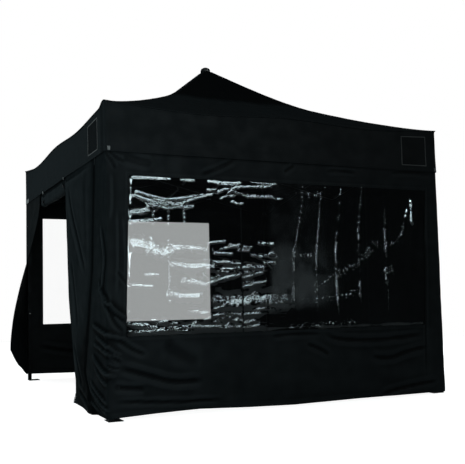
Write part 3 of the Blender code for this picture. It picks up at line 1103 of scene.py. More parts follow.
@dataclass
class WindowWall:
    """A wall of cloth with one film window sewn into it."""

    finishes: Finishes
    side: Side
    name: str
    window: tuple[float, float, float, float]
    folds: tuple[Fold, ...]
    film_finish: bpy.types.Material
    seed: int
    lean: tuple[float, float, float, float] = (0.0, 0.0, 0.0, 0.0)
    hem_line: tuple[tuple[float, float], ...] = ((-1.5, 0.02), (1.5, 0.02))
    left_wrap: tuple[tuple[float, float], ...] = ((0.0, 0.03), (2.2, 0.03))
    spacing: float = 0.0125
    film_spacing: tuple[float, float] = (0.016, 0.016)
    thickness: float = 0.0014
    tape: float = 0.022
    wrap: float = 0.03
    hem: float = 0.035
    radius: float = 0.012
    fold_depth: float = 1.3

    def __post_init__(self) -> None:
        """Draws the wall's own noise."""
        self.ripple = CreaseNoise(self.seed)

    def relief(self, flat: np.ndarray) -> np.ndarray:
        """How far the wall stands out of its plane before its film is crinkled."""
        along, up = flat.T
        middle = np.sin(math.pi * np.clip(up / TENT.wall_top, 0, 1))
        inside = ease((1.44 - np.abs(along)) / 0.25)
        out = 0.008 * self.ripple.at(along * 0.9 + 5.0, up * 0.55) * inside * middle
        out += 0.0028 * self.ripple.at(along * 3.2, up * 2.4 + 8.0)
        out += 0.0010 * self.ripple.at(along * 9.0 + 3.0, up * 11.0)
        low = ease((0.6 - up) / 0.4)
        out += 0.0055 * low * self.ripple.at(along * 2.0 + 31.0, up * 7.0)
        out += self.fold_depth * fold_relief(flat, self.folds)
        floor = np.where(np.abs(along) > TENT.leg_inner - 0.03, -0.0055, -0.05)
        floor = np.where(up > 1.8, np.maximum(floor, -0.003), floor)
        floor = np.where(along < -TENT.wall_plane - 0.07, -0.018, floor)
        return np.maximum(out, floor)

    def out_of_square(self, flat: np.ndarray) -> np.ndarray:
        """Moves points with the window, whose edges were sewn in a little askew."""
        along, up = flat.T
        left, right, bottom, top = self.window
        share = np.clip((up - bottom) / (top - bottom), -0.3, 1.15)
        left_shift = self.lean[0] + (self.lean[1] - self.lean[0]) * share
        right_shift = self.lean[2] + (self.lean[3] - self.lean[2]) * share
        edge = 1.47
        left_part = ease(1 - np.abs(along - left) / np.where(along < left, edge + left, 0.6))
        right_part = ease(1 - np.abs(along - right) / np.where(along > right, edge - right, 0.6))
        return np.stack([along + left_shift * left_part + right_shift * right_part, up], axis=1)

    def drape(self, flat: np.ndarray) -> tuple[np.ndarray, np.ndarray]:
        """Where each point of the flat wall hangs before it is stood up, and how far out."""
        shaped = self.out_of_square(flat)
        hem = np.interp(flat[:, 0], *np.array(self.hem_line).T)
        shaped[:, 1] += hem * np.clip(1 - flat[:, 1] / 0.5, 0.0, 1.0)
        past = np.maximum(-TENT.wall_plane - flat[:, 0], 0.0) / self.wrap
        reach = np.interp(shaped[:, 1], *np.array(self.left_wrap).T)
        shaped[:, 0] = np.where(past > 0, -TENT.wall_plane - past * reach, shaped[:, 0])
        return shaped, self.relief(shaped)

    def surface(self, corners: Sequence[tuple[float, float]], lift: float) -> np.ndarray:
        """Points of a line that is sewn on the wall, a little proud of it."""
        shaped, out = self.drape(line_through(corners))
        return self.side.place(wall_points(shaped, out + lift, TENT.wall_plane, self.radius))

    def build(self) -> None:
        """Makes the cloth, its film and its stitching."""
        self.add_cloth()
        self.add_film()
        self.add_stitching()

    def add_cloth(self) -> None:
        """Makes the cloth round the window, with a raised tape along the window's edges and a hem."""
        left, right, bottom, top = self.window
        end, tape, plane = TENT.wall_plane + self.wrap, self.tape, TENT.wall_plane
        wrapped = [] if self.left_wrap[0][1] < 0.1 else list(np.linspace(-end, -plane, 26)[1:-1])
        stops = [-end, *wrapped, -plane, -1.475, left - tape, left, right, right + tape, 1.475, plane, end]
        along = stops_to_lines(stops, self.spacing)
        up = stops_to_lines([0.0, self.hem, bottom - tape, bottom, top, top + tape, TENT.wall_top], self.spacing)
        builder, flat = flat_cloth(along, up)
        shaped, out = self.drape(flat)
        beside = np.maximum(
            np.maximum(left - flat[:, 0], flat[:, 0] - right), np.maximum(bottom - flat[:, 1], flat[:, 1] - top)
        )
        out += 0.0012 * (beside < tape + 0.001) + 0.001 * (flat[:, 1] < self.hem + 0.001)
        set_points(builder, self.side.place(wall_points(shaped, out, plane, self.radius)))
        # Painted shade: darker on the cloth turned round the corner, in a line along that cloth's edge and in a band
        # under the valance's hem; fold_shade adds painted highlights on ridges and painted shade in folds.
        end_line = -plane - np.interp(shaped[:, 1], *np.array(self.left_wrap).T)
        painted_shade = self.corner_shade(shaped[:, 0]) + 1.4 * hump(shaped[:, 0] - end_line, 0.03) * (self.left_wrap[0][1] > 0.1)
        set_shade(builder, fold_shade(flat, out) - painted_shade - 1.6 * ease((shaped[:, 1] - 1.87) / 0.015))
        inside = (flat[:, 0] > left + 0.001) & (flat[:, 0] < right - 0.001)
        inside &= (flat[:, 1] > bottom + 0.001) & (flat[:, 1] < top - 0.001)
        builder.verts.ensure_lookup_table()
        doomed = [builder.verts[index] for index in np.flatnonzero(inside)]
        bmesh.ops.delete(builder, geom=doomed, context="VERTS")
        strips = ("top", "skirt", "left_strip", "right_strip")
        sheet = finish_piece(
            builder,
            Piece(
                f"{self.name}_wall_cloth",
                [self.finishes.wall, self.finishes.coated],
                "wall_cloth",
                [f"{self.name}_wall_{strip}" for strip in strips],
                self.thickness,
            ),
        )
        width = 2 * plane + self.wrap + self.left_wrap[0][1]
        area = width * TENT.wall_top - (right - left) * (top - bottom)

    def corner_shade(self, along: np.ndarray) -> np.ndarray:
        """How much painted shade darkens the cloth that is turned round a corner."""
        return 0.6 * ease((-along - 1.44) / 0.08)

    def crinkle(self, flat: np.ndarray) -> np.ndarray:
        """The film's own crinkles, from 0 at its sewn edges."""
        along, up = flat.T
        return 0.0025 * self.ripple.crumple(along * 2.2 + 0.4 * np.sin(up * 3.0), up * 7.0)

    def wear(self, flat: np.ndarray) -> np.ndarray:
        """How rubbed the film is at each point, from 0 to 1, and up to 2 where a crease is painted white, partly stress
        whitening and partly a painted highlight.
        """
        return np.full(len(flat), 0.2)

    def add_film(self) -> None:
        """Makes the film, which is sewn on behind the cloth's edges."""
        left, right, bottom, top = self.window
        lap = 0.012
        along = stops_to_lines([left - lap, left, right, right + lap], self.film_spacing[0])
        up = stops_to_lines([bottom - lap, bottom, top, top + lap], self.film_spacing[1])
        builder, flat = flat_cloth(along, up)
        shaped, out = self.drape(flat)
        inside = np.minimum(
            np.minimum(flat[:, 0] - left, right - flat[:, 0]), np.minimum(flat[:, 1] - bottom, top - flat[:, 1])
        )
        out += ease(inside / 0.03) * self.crinkle(shaped) - 0.0022
        out = np.maximum(out, -0.03)
        set_points(builder, self.side.place(wall_points(shaped, out, TENT.wall_plane)))
        set_shade(builder, self.wear(shaped))
        names = (f"{self.name}_window_pane", "window_film", [f"{self.name}_window_film"])
        sheet = finish_piece(builder, Piece(names[0], [self.film_finish], names[1], names[2]))
        size = (right - left + 2 * lap, top - bottom + 2 * lap)

    def add_stitching(self) -> None:
        """Sews two rows of stitches round the window, and one above the hem."""
        left, right, bottom, top = self.window
        rows = []
        for gap in (0.003, self.tape - 0.003):
            ring = (
                (left - gap, bottom - gap),
                (right + gap, bottom - gap),
                (right + gap, top + gap),
                (left - gap, top + gap),
                (left - gap, bottom - gap),
            )
            rows.append(self.surface(ring, 0.0024))
        level = self.hem - 0.004
        rows.append(self.surface(((-1.46, level), (1.46, level)), 0.0021))
        stitches = merge_meshes(sew_stitches(row, sheet_facing(row, self.side)) for row in rows)
        finish_piece(stitches, Piece(f"{self.name}_wall_stitches", [self.finishes.thread], "wall_cloth"))


@dataclass
class FrontWall(WindowWall):
    """The front wall, whose film is crinkled level on its left and creased upright on its right."""

    streaks: tuple[Fold, ...] = ()
    creases: tuple[Fold, ...] = ()
    arcs: tuple[Fold, ...] = ()
    seam: float = -0.425
    seam_width: float = 0.008

    def crinkle(self, flat: np.ndarray) -> np.ndarray:
        """Level crinkles on the left, upright creases on the right, and small dents where both are worn."""
        along, up = flat.T
        left_part = 1 - ease((along + 0.25) / 0.35)
        wander = 0.35 * self.ripple.at(along * 1.3, up * 1.1 + 5.0)
        level = self.ripple.crumple(along * 2.4 + wander, up * 9.0 + 3.0 * wander, 3)
        upright = self.ripple.crumple(along * 4.5 + 0.5 * wander + 11.0, up * 1.3, 3)
        out = left_part * 0.0018 * level + (1 - left_part) * 0.0014 * upright
        worn = fold_reach(flat, self.streaks, 0.08)
        dents = self.ripple.crumple(along * 24.0, up * 38.0, 2) - 0.7
        out += worn * (0.0026 * dents + 0.0016 * self.ripple.at(along * 48.0, up * 66.0))
        pinch = 1 - 0.9 * ease((1.5 - up) / 0.1) * hump(along - self.seam, 0.010)
        return pinch * (out + fold_relief(flat, self.streaks) + fold_relief(flat, self.creases))

    def wear(self, flat: np.ndarray) -> np.ndarray:
        """Rubbed where the film is crumpled, and painted white along its long creases and in specks along its arcs,
        partly stress whitening and partly painted highlight.
        """
        along, up = flat.T
        specks = ease(3.4 * self.ripple.at(along * 61.0 + 9.0 * up, up * 71.0 - 7.0 * along) - 0.8)
        lines = fold_reach(flat, self.creases, 0.0) * (0.555 + 0.12 * self.ripple.at(along * 9.0, up * 14.0 + 2.0))
        # Painted highlight, partly stress whitening: white lines along the creases, and white specks along the creases
        # and the arcs.
        whitening_and_highlight = np.maximum(lines, fold_reach(flat, (*self.creases, *self.arcs), 0.0) * specks)
        rubbed = fold_reach(flat, self.streaks, 0.1) * (1 - 0.6 * ease((along + 0.1) / 0.2))
        return rubbed + 1.9 * whitening_and_highlight

    def build(self) -> None:
        """Makes the wall, and the welded seam across its film."""
        super().build()
        low, high = self.window[2] - 0.004, 1.52
        builder, flat = flat_cloth(np.linspace(-0.5, 0.5, 4) * self.seam_width + self.seam, np.linspace(low, high, 160))
        shaped, out = self.drape(flat)
        out += self.crinkle(shaped)
        set_points(builder, self.side.place(wall_points(shaped, np.maximum(out, -0.03) - 0.0008, TENT.wall_plane)))
        seam = Piece("front_window_seam", [self.finishes.tape], "wall_cloth", thickness=0.0008)
        finish_piece(builder, seam)


@dataclass
class PlainWall:
    """A wall of plain cloth in three sewn widths."""

    finishes: Finishes
    side: Side = Side.RIGHT
    name: str = "right_wall_cloth"
    spacing: float = 0.0225
    thickness: float = 0.0014
    hem: float = 0.035
    bottom: float = 0.018
    seams: tuple[float, ...] = (-0.5, 0.5)
    ripple: CreaseNoise = field(default_factory=lambda: CreaseNoise(47))

    def folds(self) -> tuple[Fold, ...]:
        """The folds that hang in the wall."""
        return (
            Fold(((-1.4, 0.4), (-1.1, 0.3), (-0.7, 0.26)), 0.009, 0.024),
            Fold(((1.4, 0.46), (1.1, 0.36), (0.75, 0.34)), 0.009, 0.022),
            Fold(((-0.4, 0.2), (0.1, 0.14), (0.5, 0.17)), 0.006, 0.02),
            Fold(((-1.42, 1.8), (-1.2, 1.4), (-1.15, 0.9)), 0.006, 0.05),
            Fold(((1.42, 1.8), (1.25, 1.3), (1.22, 0.8)), 0.006, 0.05),
            Fold(((0.2, 1.85), (0.15, 1.3), (0.22, 0.7)), 0.005, 0.07),
            Fold(((-0.9, 1.84), (-0.8, 1.8), (-0.6, 1.83)), 0.004, 0.02),
            Fold(((0.6, 1.0), (0.85, 0.85), (1.2, 0.8)), 0.004, 0.04),
        )

    def relief(self, flat: np.ndarray) -> np.ndarray:
        """How far each point of the wall stands out of its plane."""
        place, height = flat.T
        inside = ease((1.44 - np.abs(place)) / 0.2)
        out = 0.010 * self.ripple.at(place * 1.1, height * 0.5) * inside
        out += 0.0035 * self.ripple.at(place * 3.3, height * 1.4 + 5.0) * inside
        out += 0.0010 * self.ripple.at(place * 9.0, height * 9.0)
        out += fold_relief(flat, self.folds())
        out += 0.001 * (height < self.bottom + self.hem + 0.001)
        for seam in self.seams:
            out += 0.0018 * hump(place - seam, 0.012)
        floor = np.where(height > 1.8, -0.006, np.where(np.abs(place) > 1.4, -0.002, -0.05))
        return np.maximum(out, floor) - 0.002

    def build(self) -> None:
        """Makes the cloth and the stitching of its seams and hem."""
        end = 1.476
        along = stops_to_lines([-end, self.seams[0], self.seams[1], end], self.spacing)
        up = stops_to_lines([self.bottom, self.bottom + self.hem, TENT.wall_top], self.spacing)
        builder, flat = flat_cloth(along, up)
        out = self.relief(flat)
        set_points(builder, self.side.place(wall_points(flat, out, TENT.wall_plane)))
        finish = [self.finishes.wall, self.finishes.coated]
        # Painted light: fold_shade paints highlights on the wall's ridges and shade in its folds.
        set_shade(builder, fold_shade(flat, out))
        piece = Piece(self.name, finish, "wall_cloth", ["right_wall"], self.thickness)
        sheet = finish_piece(builder, piece)
        level = self.bottom + self.hem - 0.004
        rows = [((-end, level), (end, level))]
        rows += [((seam + gap, level), (seam + gap, 2.1)) for seam in self.seams for gap in (-0.004, 0.004)]
        sewn = []
        for row in rows:
            line = line_through(row)
            path = self.side.place(wall_points(line, self.relief(line) + 0.0012, TENT.wall_plane))
            sewn.append(sew_stitches(path, sheet_facing(path, self.side)))
        finish_piece(merge_meshes(sewn), Piece("right_wall_stitches", [self.finishes.thread], "wall_cloth"))
        coils = []
        for place in (-1.466, 1.466):
            line = line_through(((place, 0.04), (place, 1.9)))
            coils.append(zip_coil(self.side.place(wall_points(line, self.relief(line) + 0.0025, TENT.wall_plane))))
        finish_piece(merge_meshes(coils), Piece("right_wall_zips", [self.finishes.tape], "wall_cloth"))


@dataclass
class DoorwayWall:
    """The left wall: a near panel, a header, a far flap that stands open, and the rolled-up door."""

    finishes: Finishes
    spacing: float = 0.0125
    thickness: float = 0.0014
    door_near: float = 0.36
    door_far: float = -0.77
    header_bottom: float = 1.838
    roll_height: float = 1.806
    roll_out: float = -0.047
    roll_radius: float = 0.034
    ripple: CreaseNoise = field(default_factory=lambda: CreaseNoise(71))

    def build(self) -> None:
        """Makes every piece of the wall."""
        self.add_header()
        self.add_near_panel()
        self.add_far_flap()
        self.add_roll()
        self.add_ties()

    def stand(self, flat: np.ndarray, out: np.ndarray) -> np.ndarray:
        """Stands a sheet up on the left side."""
        return Side.LEFT.place(wall_points(flat, out, TENT.wall_plane))

    def add_sheet(
        self,
        builder: bmesh.types.BMesh,
        name: str,
        node: str,
    ) -> None:
        """Finishes one sheet of the wall.

        Args:
            builder: Its shape.
            name: Its name.
            node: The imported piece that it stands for.
        """
        finish = [self.finishes.wall, self.finishes.coated]
        sheet = finish_piece(builder, Piece(name, finish, "wall_cloth", [node], self.thickness))

    def add_header(self) -> None:
        """Makes the cloth over the doorway, which the roll pulls inwards."""
        along = stops_to_lines([-1.476, self.door_far, self.door_near, 1.476], self.spacing * 1.2)
        up = stops_to_lines([self.header_bottom, TENT.wall_top], self.spacing * 1.2)
        builder, flat = flat_cloth(along, up)
        place, height = flat.T
        inside = ease((place - self.door_far + 0.06) / 0.08) * ease((self.door_near + 0.06 - place) / 0.08)
        low = ease((1.93 - height) / 0.06)
        out = -0.004 - 0.011 * inside * low - 0.026 * inside * ease((1.855 - height) / 0.016)
        out += 0.002 * self.ripple.at(place * 4.0, height * 5.0) * low
        out = np.maximum(out, np.where(height > 1.9, -0.007, -0.05))
        set_points(builder, self.stand(flat, out))
        # Painted shade: the header is darkened over the doorway below the valance, in the recess above the roll.
        set_shade(builder, -1.6 * inside * ease((1.96 - height) / 0.05))
        self.add_sheet(builder, "doorway_header_cloth", "left_wall_header")

    def free_edge(self, up: np.ndarray) -> np.ndarray:
        """Where the near panel ends at each height."""
        heights = (0.02, 0.09, 0.2, 0.26, 0.56, 0.84, 1.5, 1.79, 1.93)
        places = (0.60, 0.66, 0.66, 0.63, 0.535, 0.45, 0.385, 0.345, 0.32)
        return np.interp(up, heights, places)

    def fold_line(self, up: np.ndarray) -> np.ndarray:
        """Where the near panel dips under the cloth that is turned round the corner."""
        return TENT.wall_plane - np.interp(up, *np.array(CORNER_WRAP).T)

    def near_panel_out(self, flat: np.ndarray) -> np.ndarray:
        """How far the near panel stands out: in beside the corner's cloth, out at its free edge and foot."""
        place, height = flat.T
        fold, edge = self.fold_line(height), self.free_edge(height)
        depth = (0.014 + 0.030 * ease((1.8 - height) / 0.5)) * ease((height + 0.02) / 0.3)
        under = np.clip((TENT.leg_inner - place) / np.maximum(TENT.leg_inner - fold, 0.05), 0, 1)
        rise = ease((fold - place) / 0.065)
        far = np.clip((fold - place) / np.maximum(fold - edge, 0.05), 0, 1)
        out = np.where(place > fold, -depth * ease(under), -depth * (1 - rise) + 0.012 * far)
        out += 0.034 * hump(place - 1.18, 0.2) * ease((0.24 - height) / 0.2)
        folds = (
            Fold(((0.44, 1.8), (0.54, 1.54), (0.78, 1.25), (0.96, 1.03)), 0.011, 0.028),
            Fold(((0.5, 1.2), (0.62, 0.9), (0.72, 0.6)), 0.008, 0.03),
            Fold(((0.9, 1.85), (0.93, 1.4), (0.98, 1.1)), 0.005, 0.05),
            Fold(((0.6, 0.5), (0.72, 0.3), (0.85, 0.16)), 0.008, 0.022),
            Fold(((0.72, 0.16), (0.9, 0.10), (1.2, 0.05)), 0.010, 0.015),
        )
        out += fold_relief(flat, folds)
        out += 0.004 * self.ripple.at(place * 3.0, height * 2.0) + 0.0012 * self.ripple.at(place * 10.0, height * 9.0)
        out = np.maximum(out, np.where(height > 1.82, -0.012, -0.2))
        out = np.minimum(out, 0.001 + 0.03 * (1 - ease((height - 1.78) / 0.08)))
        covered = ease((place - fold) / 0.03)
        out = np.where(covered > 0, np.minimum(out, -0.0035 * covered + out * (1 - covered)), out)
        return np.where(place > TENT.leg_inner - 0.02, -0.0045, out)

    def add_near_panel(self) -> None:
        """Makes the panel beside the near corner, drawn in towards its foot."""
        share = np.linspace(0, 1, 96)
        up = stops_to_lines([0.0, 0.12, 0.7, 1.93], self.spacing)
        builder, flat = flat_cloth(share, up)
        hem = np.interp(flat[:, 0], (0.0, 0.3, 0.55, 0.85, 1.0), (0.026, 0.02, 0.012, 0.02, 0.04))
        height = flat[:, 1] + hem * np.clip(1 - flat[:, 1] / 0.7, 0, 1)
        edge = self.free_edge(height)
        place = edge + (1.478 - edge) * flat[:, 0]
        shaped = np.stack([place, height], axis=1)
        out = self.near_panel_out(shaped)
        set_points(builder, self.stand(shaped, out - 0.001))
        # Painted shade: a dark line in the groove beside the cloth turned round the corner, a band under the valance's
        # hem, and the low hollow towards the foot; fold_shade adds painted highlights on ridges and painted shade in
        # folds.
        crease = 3.4 * hump(place - self.fold_line(height) + 0.035, 0.055) + 1.6 * ease((height - 1.87) / 0.015)
        hollow = 1.7 * ease((0.72 - height) / 0.3) * ease((place - 0.62) / 0.15)
        set_shade(builder, fold_shade(flat, out) - crease - hollow)
        self.add_sheet(builder, "doorway_near_panel", "left_wall_near_panel")
        line = np.linspace(0.0, 1.88, 300)
        beside = np.stack([self.free_edge(line) + 0.008, line + 0.02], axis=1)
        path = self.stand(beside, self.near_panel_out(beside) + 0.0006)
        finish_piece(zip_coil(path), Piece("near_panel_zip", [self.finishes.tape], "wall_cloth"))

    def flap_points(self, across: np.ndarray, down: np.ndarray) -> np.ndarray:
        """Places points of the far flap, from its free edge (across 0) to its leg and from its top down."""
        top, split, end, turned = 1.93, 0.075, 1.489, np.maximum(across - 1.0, 0.0)
        across = np.minimum(across, 1.0)
        fall = np.clip((down - split) / (1 - split), 0, 1)
        twist = np.sin(math.pi / 2 * fall) ** 1.5
        free_along = -0.77 + (-0.93 + 0.77) * fall
        upper = top + (1.79 - top) * down / split
        free_up = np.where(down < split, upper, 1.79 + (0.36 - 1.79) * fall)
        leg_up = np.where(down < split, upper, 1.79 + (0.06 - 1.79) * fall)
        along = free_along + (-end - free_along) * across
        up = free_up + (leg_up - free_up) * across
        out = 0.262 * twist * (1 - across)
        out += np.sin(math.pi * across) * fall * (0.018 + 0.012 * self.ripple.at(across * 2.0 + 3.0, fall * 2.0))
        out += 0.0035 * fall * self.ripple.at(across * 5.0, fall * 6.0 + 2.0) * ease((1 - across) / 0.1)
        out += 0.006 * fall * hump(across - 0.42 - 0.2 * fall, 0.07)
        out = np.where(up > 1.82, np.maximum(out, -0.005), out) - 0.6 * turned
        return Side.LEFT.place(np.stack([along, -(TENT.wall_plane + out), up], axis=1))

    def add_far_flap(self) -> None:
        """Makes the flap beside the far leg, whose lower corner stands out, and its zip."""
        builder, flat = flat_cloth(np.append(np.linspace(0, 1, 66), (1.03, 1.06)), np.linspace(0, 1, 130))
        points = self.flap_points(flat[:, 0], 1 - flat[:, 1])
        set_points(builder, points)
        # Painted shadow: the top of the flap is darkened in a band under the valance's hem.
        set_shade(builder, -1.6 * ease((points[:, 2] - 1.87) / 0.015))
        self.add_sheet(builder, "doorway_far_flap", "left_wall_far_flap")
        down = np.linspace(0.08, 0.995, 300)
        path = self.flap_points(np.full(300, 0.015), down)[::-1]
        finish_piece(zip_coil(path), Piece("far_flap_zip", [self.finishes.tape], "wall_cloth"))

    def add_roll(self) -> None:
        """Makes the door, rolled up in a spiral of its own length and hung under the header."""
        pitch, core, outer = 0.0044, 0.009, self.roll_radius
        steps = int((outer - core) / pitch * 30)
        lead = 6
        along = stops_to_lines([self.door_far + 0.02, self.door_near - 0.02], 0.021)
        builder, flat = flat_cloth(along, np.arange(steps + lead + 1, dtype=float))
        place, number = flat.T
        angle = np.minimum(number, steps) / 30 * math.tau
        radius = core + pitch * angle / math.tau
        squeeze = 1 - 0.2 * (hump(place - 0.19, 0.045) + hump(place + 0.655, 0.045))
        lumpy = 1 + 0.05 * self.ripple.at(place * 7.0, np.full_like(place, 3.0)) * radius / outer
        wrinkle = 0.0016 * self.ripple.at(place * 16.0, angle * 1.2) * (radius / outer) ** 2
        reach = radius * squeeze * lumpy + wrinkle
        turn = angle - steps / 30 * math.tau + math.pi * 0.02
        lifted = np.maximum(number - steps, 0) / lead
        out = self.roll_out + reach * np.cos(turn)
        height = self.roll_height + self.roll_sag(place) + 0.94 * reach * np.sin(turn) + lifted * 0.06
        points = np.stack([place, -(TENT.wall_plane + out), height], axis=1)
        set_points(builder, Side.LEFT.place(points))
        # Painted highlight: the whole roll is painted paler than the wall cloth round it.
        set_shade(builder, np.full(len(flat), 0.6))
        sheet = finish_piece(builder, Piece("door_roll", [self.finishes.wall], "wall_cloth", ["rolled_door"], 0.0012))
        length = math.pi * (outer**2 - core**2) / pitch + 0.06

    def roll_sag(self, place: np.ndarray | float) -> np.ndarray | float:
        """How far the roll hangs down between its ties and at its far end, and rises towards its near end."""
        sag = -0.005 * np.sin(math.pi * np.clip((place + 0.655) / 0.845, 0, 1)) - 0.006 * hump(place + 0.77, 0.12)
        return sag + 0.036 * ease((place - 0.02) / 0.28)

    def add_ties(self) -> None:
        """Makes the two webbing ties that hold the roll, each with its buckle."""
        parts = []
        for place in (0.19, -0.655):
            turn = np.linspace(0, math.tau, 41)
            middle = self.roll_height + float(self.roll_sag(place)) + 0.004
            builder, flat = flat_cloth(np.linspace(-0.0125, 0.0125, 5), turn)
            reach = self.roll_radius * 0.86 + 0.0035
            out = self.roll_out + reach * np.cos(flat[:, 1])
            up = middle + reach * 1.12 * np.sin(flat[:, 1])
            points = np.stack([place + flat[:, 0], -(TENT.wall_plane + out), up], axis=1)
            set_points(builder, Side.LEFT.place(points))
            bmesh.ops.remove_doubles(builder, verts=builder.verts, dist=0.0002)
            parts.append(builder)
        finish_piece(merge_meshes(parts), Piece("roll_ties", [self.finishes.tape], "wall_cloth", thickness=0.0016))
        buckles = []
        for place in (0.19, -0.655):
            out = self.roll_out + self.roll_radius + 0.004
            level = self.roll_height + float(self.roll_sag(place)) + 0.006
            corner = Side.LEFT.place(np.array([[place, -(TENT.wall_plane + out), level]]))[0]
            buckles.append(soft_box((0.008, 0.03, 0.022), tuple(corner), 0.0025))
        finish_piece(merge_meshes(buckles), Piece("roll_tie_buckles", [self.finishes.bracket], "bracket_plastic"))


@dataclass
class Tabs:
    """Pale webbing tabs that hook the valance and the walls to the frame at the valance's lower edge."""

    finishes: Finishes
    band: ValanceBand
    places: tuple[tuple[Side, float, float, float, float], ...] = (
        (Side.FRONT, -1.466, 0.055, 0.020, 0.080),
        (Side.FRONT, 1.466, 0.055, 0.020, 0.080),
        (Side.LEFT, -1.37, 0.050, 0.160, 0.130),
        (Side.LEFT, -0.56, -0.020, 0.024, 0.090),
        (Side.LEFT, 0.302, -0.015, 0.010, 0.070),
        (Side.RIGHT, 0.0, 0.055, 0.020, 0.080),
        (Side.BACK, 0.0, 0.055, 0.020, 0.080),
    )

    def build(self) -> None:
        """Makes the tabs in one piece."""
        tabs = []
        for side, along, share, wide, tall in self.places:
            builder, flat = flat_cloth(np.linspace(-0.5, 0.5, 7), np.linspace(-0.5, 0.5, 9))
            lift = 0.0055
            set_points(builder, self.band.drape(side, along + wide * flat[:, 0], share + tall * flat[:, 1], lift))
            tabs.append(builder)
        finish_piece(merge_meshes(tabs), Piece("webbing_tabs", [self.finishes.pale_tape], "canopy_cloth", thickness=0.0016))


# Frame and fittings


@dataclass
class FrameDressing:
    """The finishes of the folding frame's own pieces."""

    finishes: Finishes

    def build(self) -> None:
        """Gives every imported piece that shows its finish."""
        for name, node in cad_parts.items():
            if name.startswith(("upper_leg", "lower_leg")):
                material = self.finishes.tube
            elif name.startswith(("truss", "inner_truss", "centre_mast")):
                material = self.finishes.bar
            elif name == "peak_cap":
                material = self.finishes.cap
            else:
                material = self.finishes.bracket
            for socket in node.material_slots:
                socket.material = material
        LOG.info("frame: %d packed pieces", len(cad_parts))


def stud(place: Sequence[float], facing: Sequence[float], radius: float, height: float) -> bmesh.types.BMesh:
    """A low domed head of a bolt or rivet that stands on a face.

    Args:
        place: The middle of its base.
        facing: The face's outward direction.
        radius: Its radius.
        height: Its height.

    Returns:
        The head's mesh.
    """
    builder = bmesh.new()
    bmesh.ops.create_cone(builder, cap_ends=True, segments=14, radius1=radius, radius2=radius, depth=height)
    rim = [edge for edge in builder.edges if all(vertex.co.z > 0 for vertex in edge.verts)]
    bmesh.ops.bevel(builder, geom=rim, offset=height * 0.6, affect="EDGES", segments=2, profile=0.5, material=-1)
    out = Vector(facing)
    turn = out.to_track_quat("Z", "Y").to_matrix().to_4x4()
    middle = Vector(place) + out * height / 2
    bmesh.ops.transform(builder, matrix=Matrix.Translation(middle) @ turn, verts=builder.verts)
    return builder


@dataclass
class Fastenings:
    """The frame's pivots, the legs' catches and the screws of the foot plates."""

    finishes: Finishes
    bar_plane: float = 1.462
    bar_face: float = 0.008
    crossing: tuple[float, float] = (0.70985, 2.0225)
    inner_crossing: float = 0.7465
    plate_holes: tuple[tuple[float, float], ...] = ((-1.386, -1.386), (-1.386, -1.462), (-1.462, -1.386))
    legs: tuple[tuple[Side, str], ...] = (
        (Side.FRONT, "front_left_leg"),
        (Side.RIGHT, "front_right_leg"),
        (Side.BACK, "back_right_leg"),
        (Side.LEFT, "back_left_leg"),
    )

    def build(self) -> None:
        """Makes the pivots, the catches and the screws."""
        pivots, catches = [], []
        for side, leg in self.legs:
            across, height = self.crossing
            level = [(-across, height), (across, height), (0.0, 2.185), (0.0, 1.86)]
            level += [(end, up) for end in (-1.424, 1.424) for up in (2.185, 1.86)]
            for along, up in level:
                for facing in (-1, 1):
                    place = (along, facing * self.bar_face - self.bar_plane, up)
                    pivots.append(self.placed(side, place, (0, facing, 0), 0.0075, 0.0035))
            for facing in (-1, 1):
                place = (facing * self.bar_face, -self.inner_crossing, height)
                pivots.append(self.placed(side, place, (facing, 0, 0), 0.0075, 0.0035))
            for facing in ((0, 1, 0), (1, 0, 0)):
                place = [0.02 * part - self.bar_plane for part in facing[:2]] + [0.705]
                catches.append(self.placed(side, place, facing, 0.0055, 0.003))
            screws = [self.placed(side, (*hole, 0.004), (0, 0, 1), 0.0055, 0.003) for hole in self.plate_holes]
            name = f"foot_screws_{leg.removesuffix('_leg')}"
            finish_piece(merge_meshes(screws), Piece(name, [self.finishes.steel], "bracket_plastic", body=leg))
        finish_piece(merge_meshes(pivots), Piece("truss_pivots", [self.finishes.steel], "frame_bar"))
        finish_piece(merge_meshes(catches), Piece("leg_catches", [self.finishes.steel], "leg_tube"))

    def placed(
        self, side: Side, place: Sequence[float], facing: Sequence[float], radius: float, height: float
    ) -> bmesh.types.BMesh:
        """Makes a stud of a front-side layout on a side."""
        turned = side.place(np.array([place, facing], float))
        return stud(turned[0], turned[1], radius, height)


# Studio


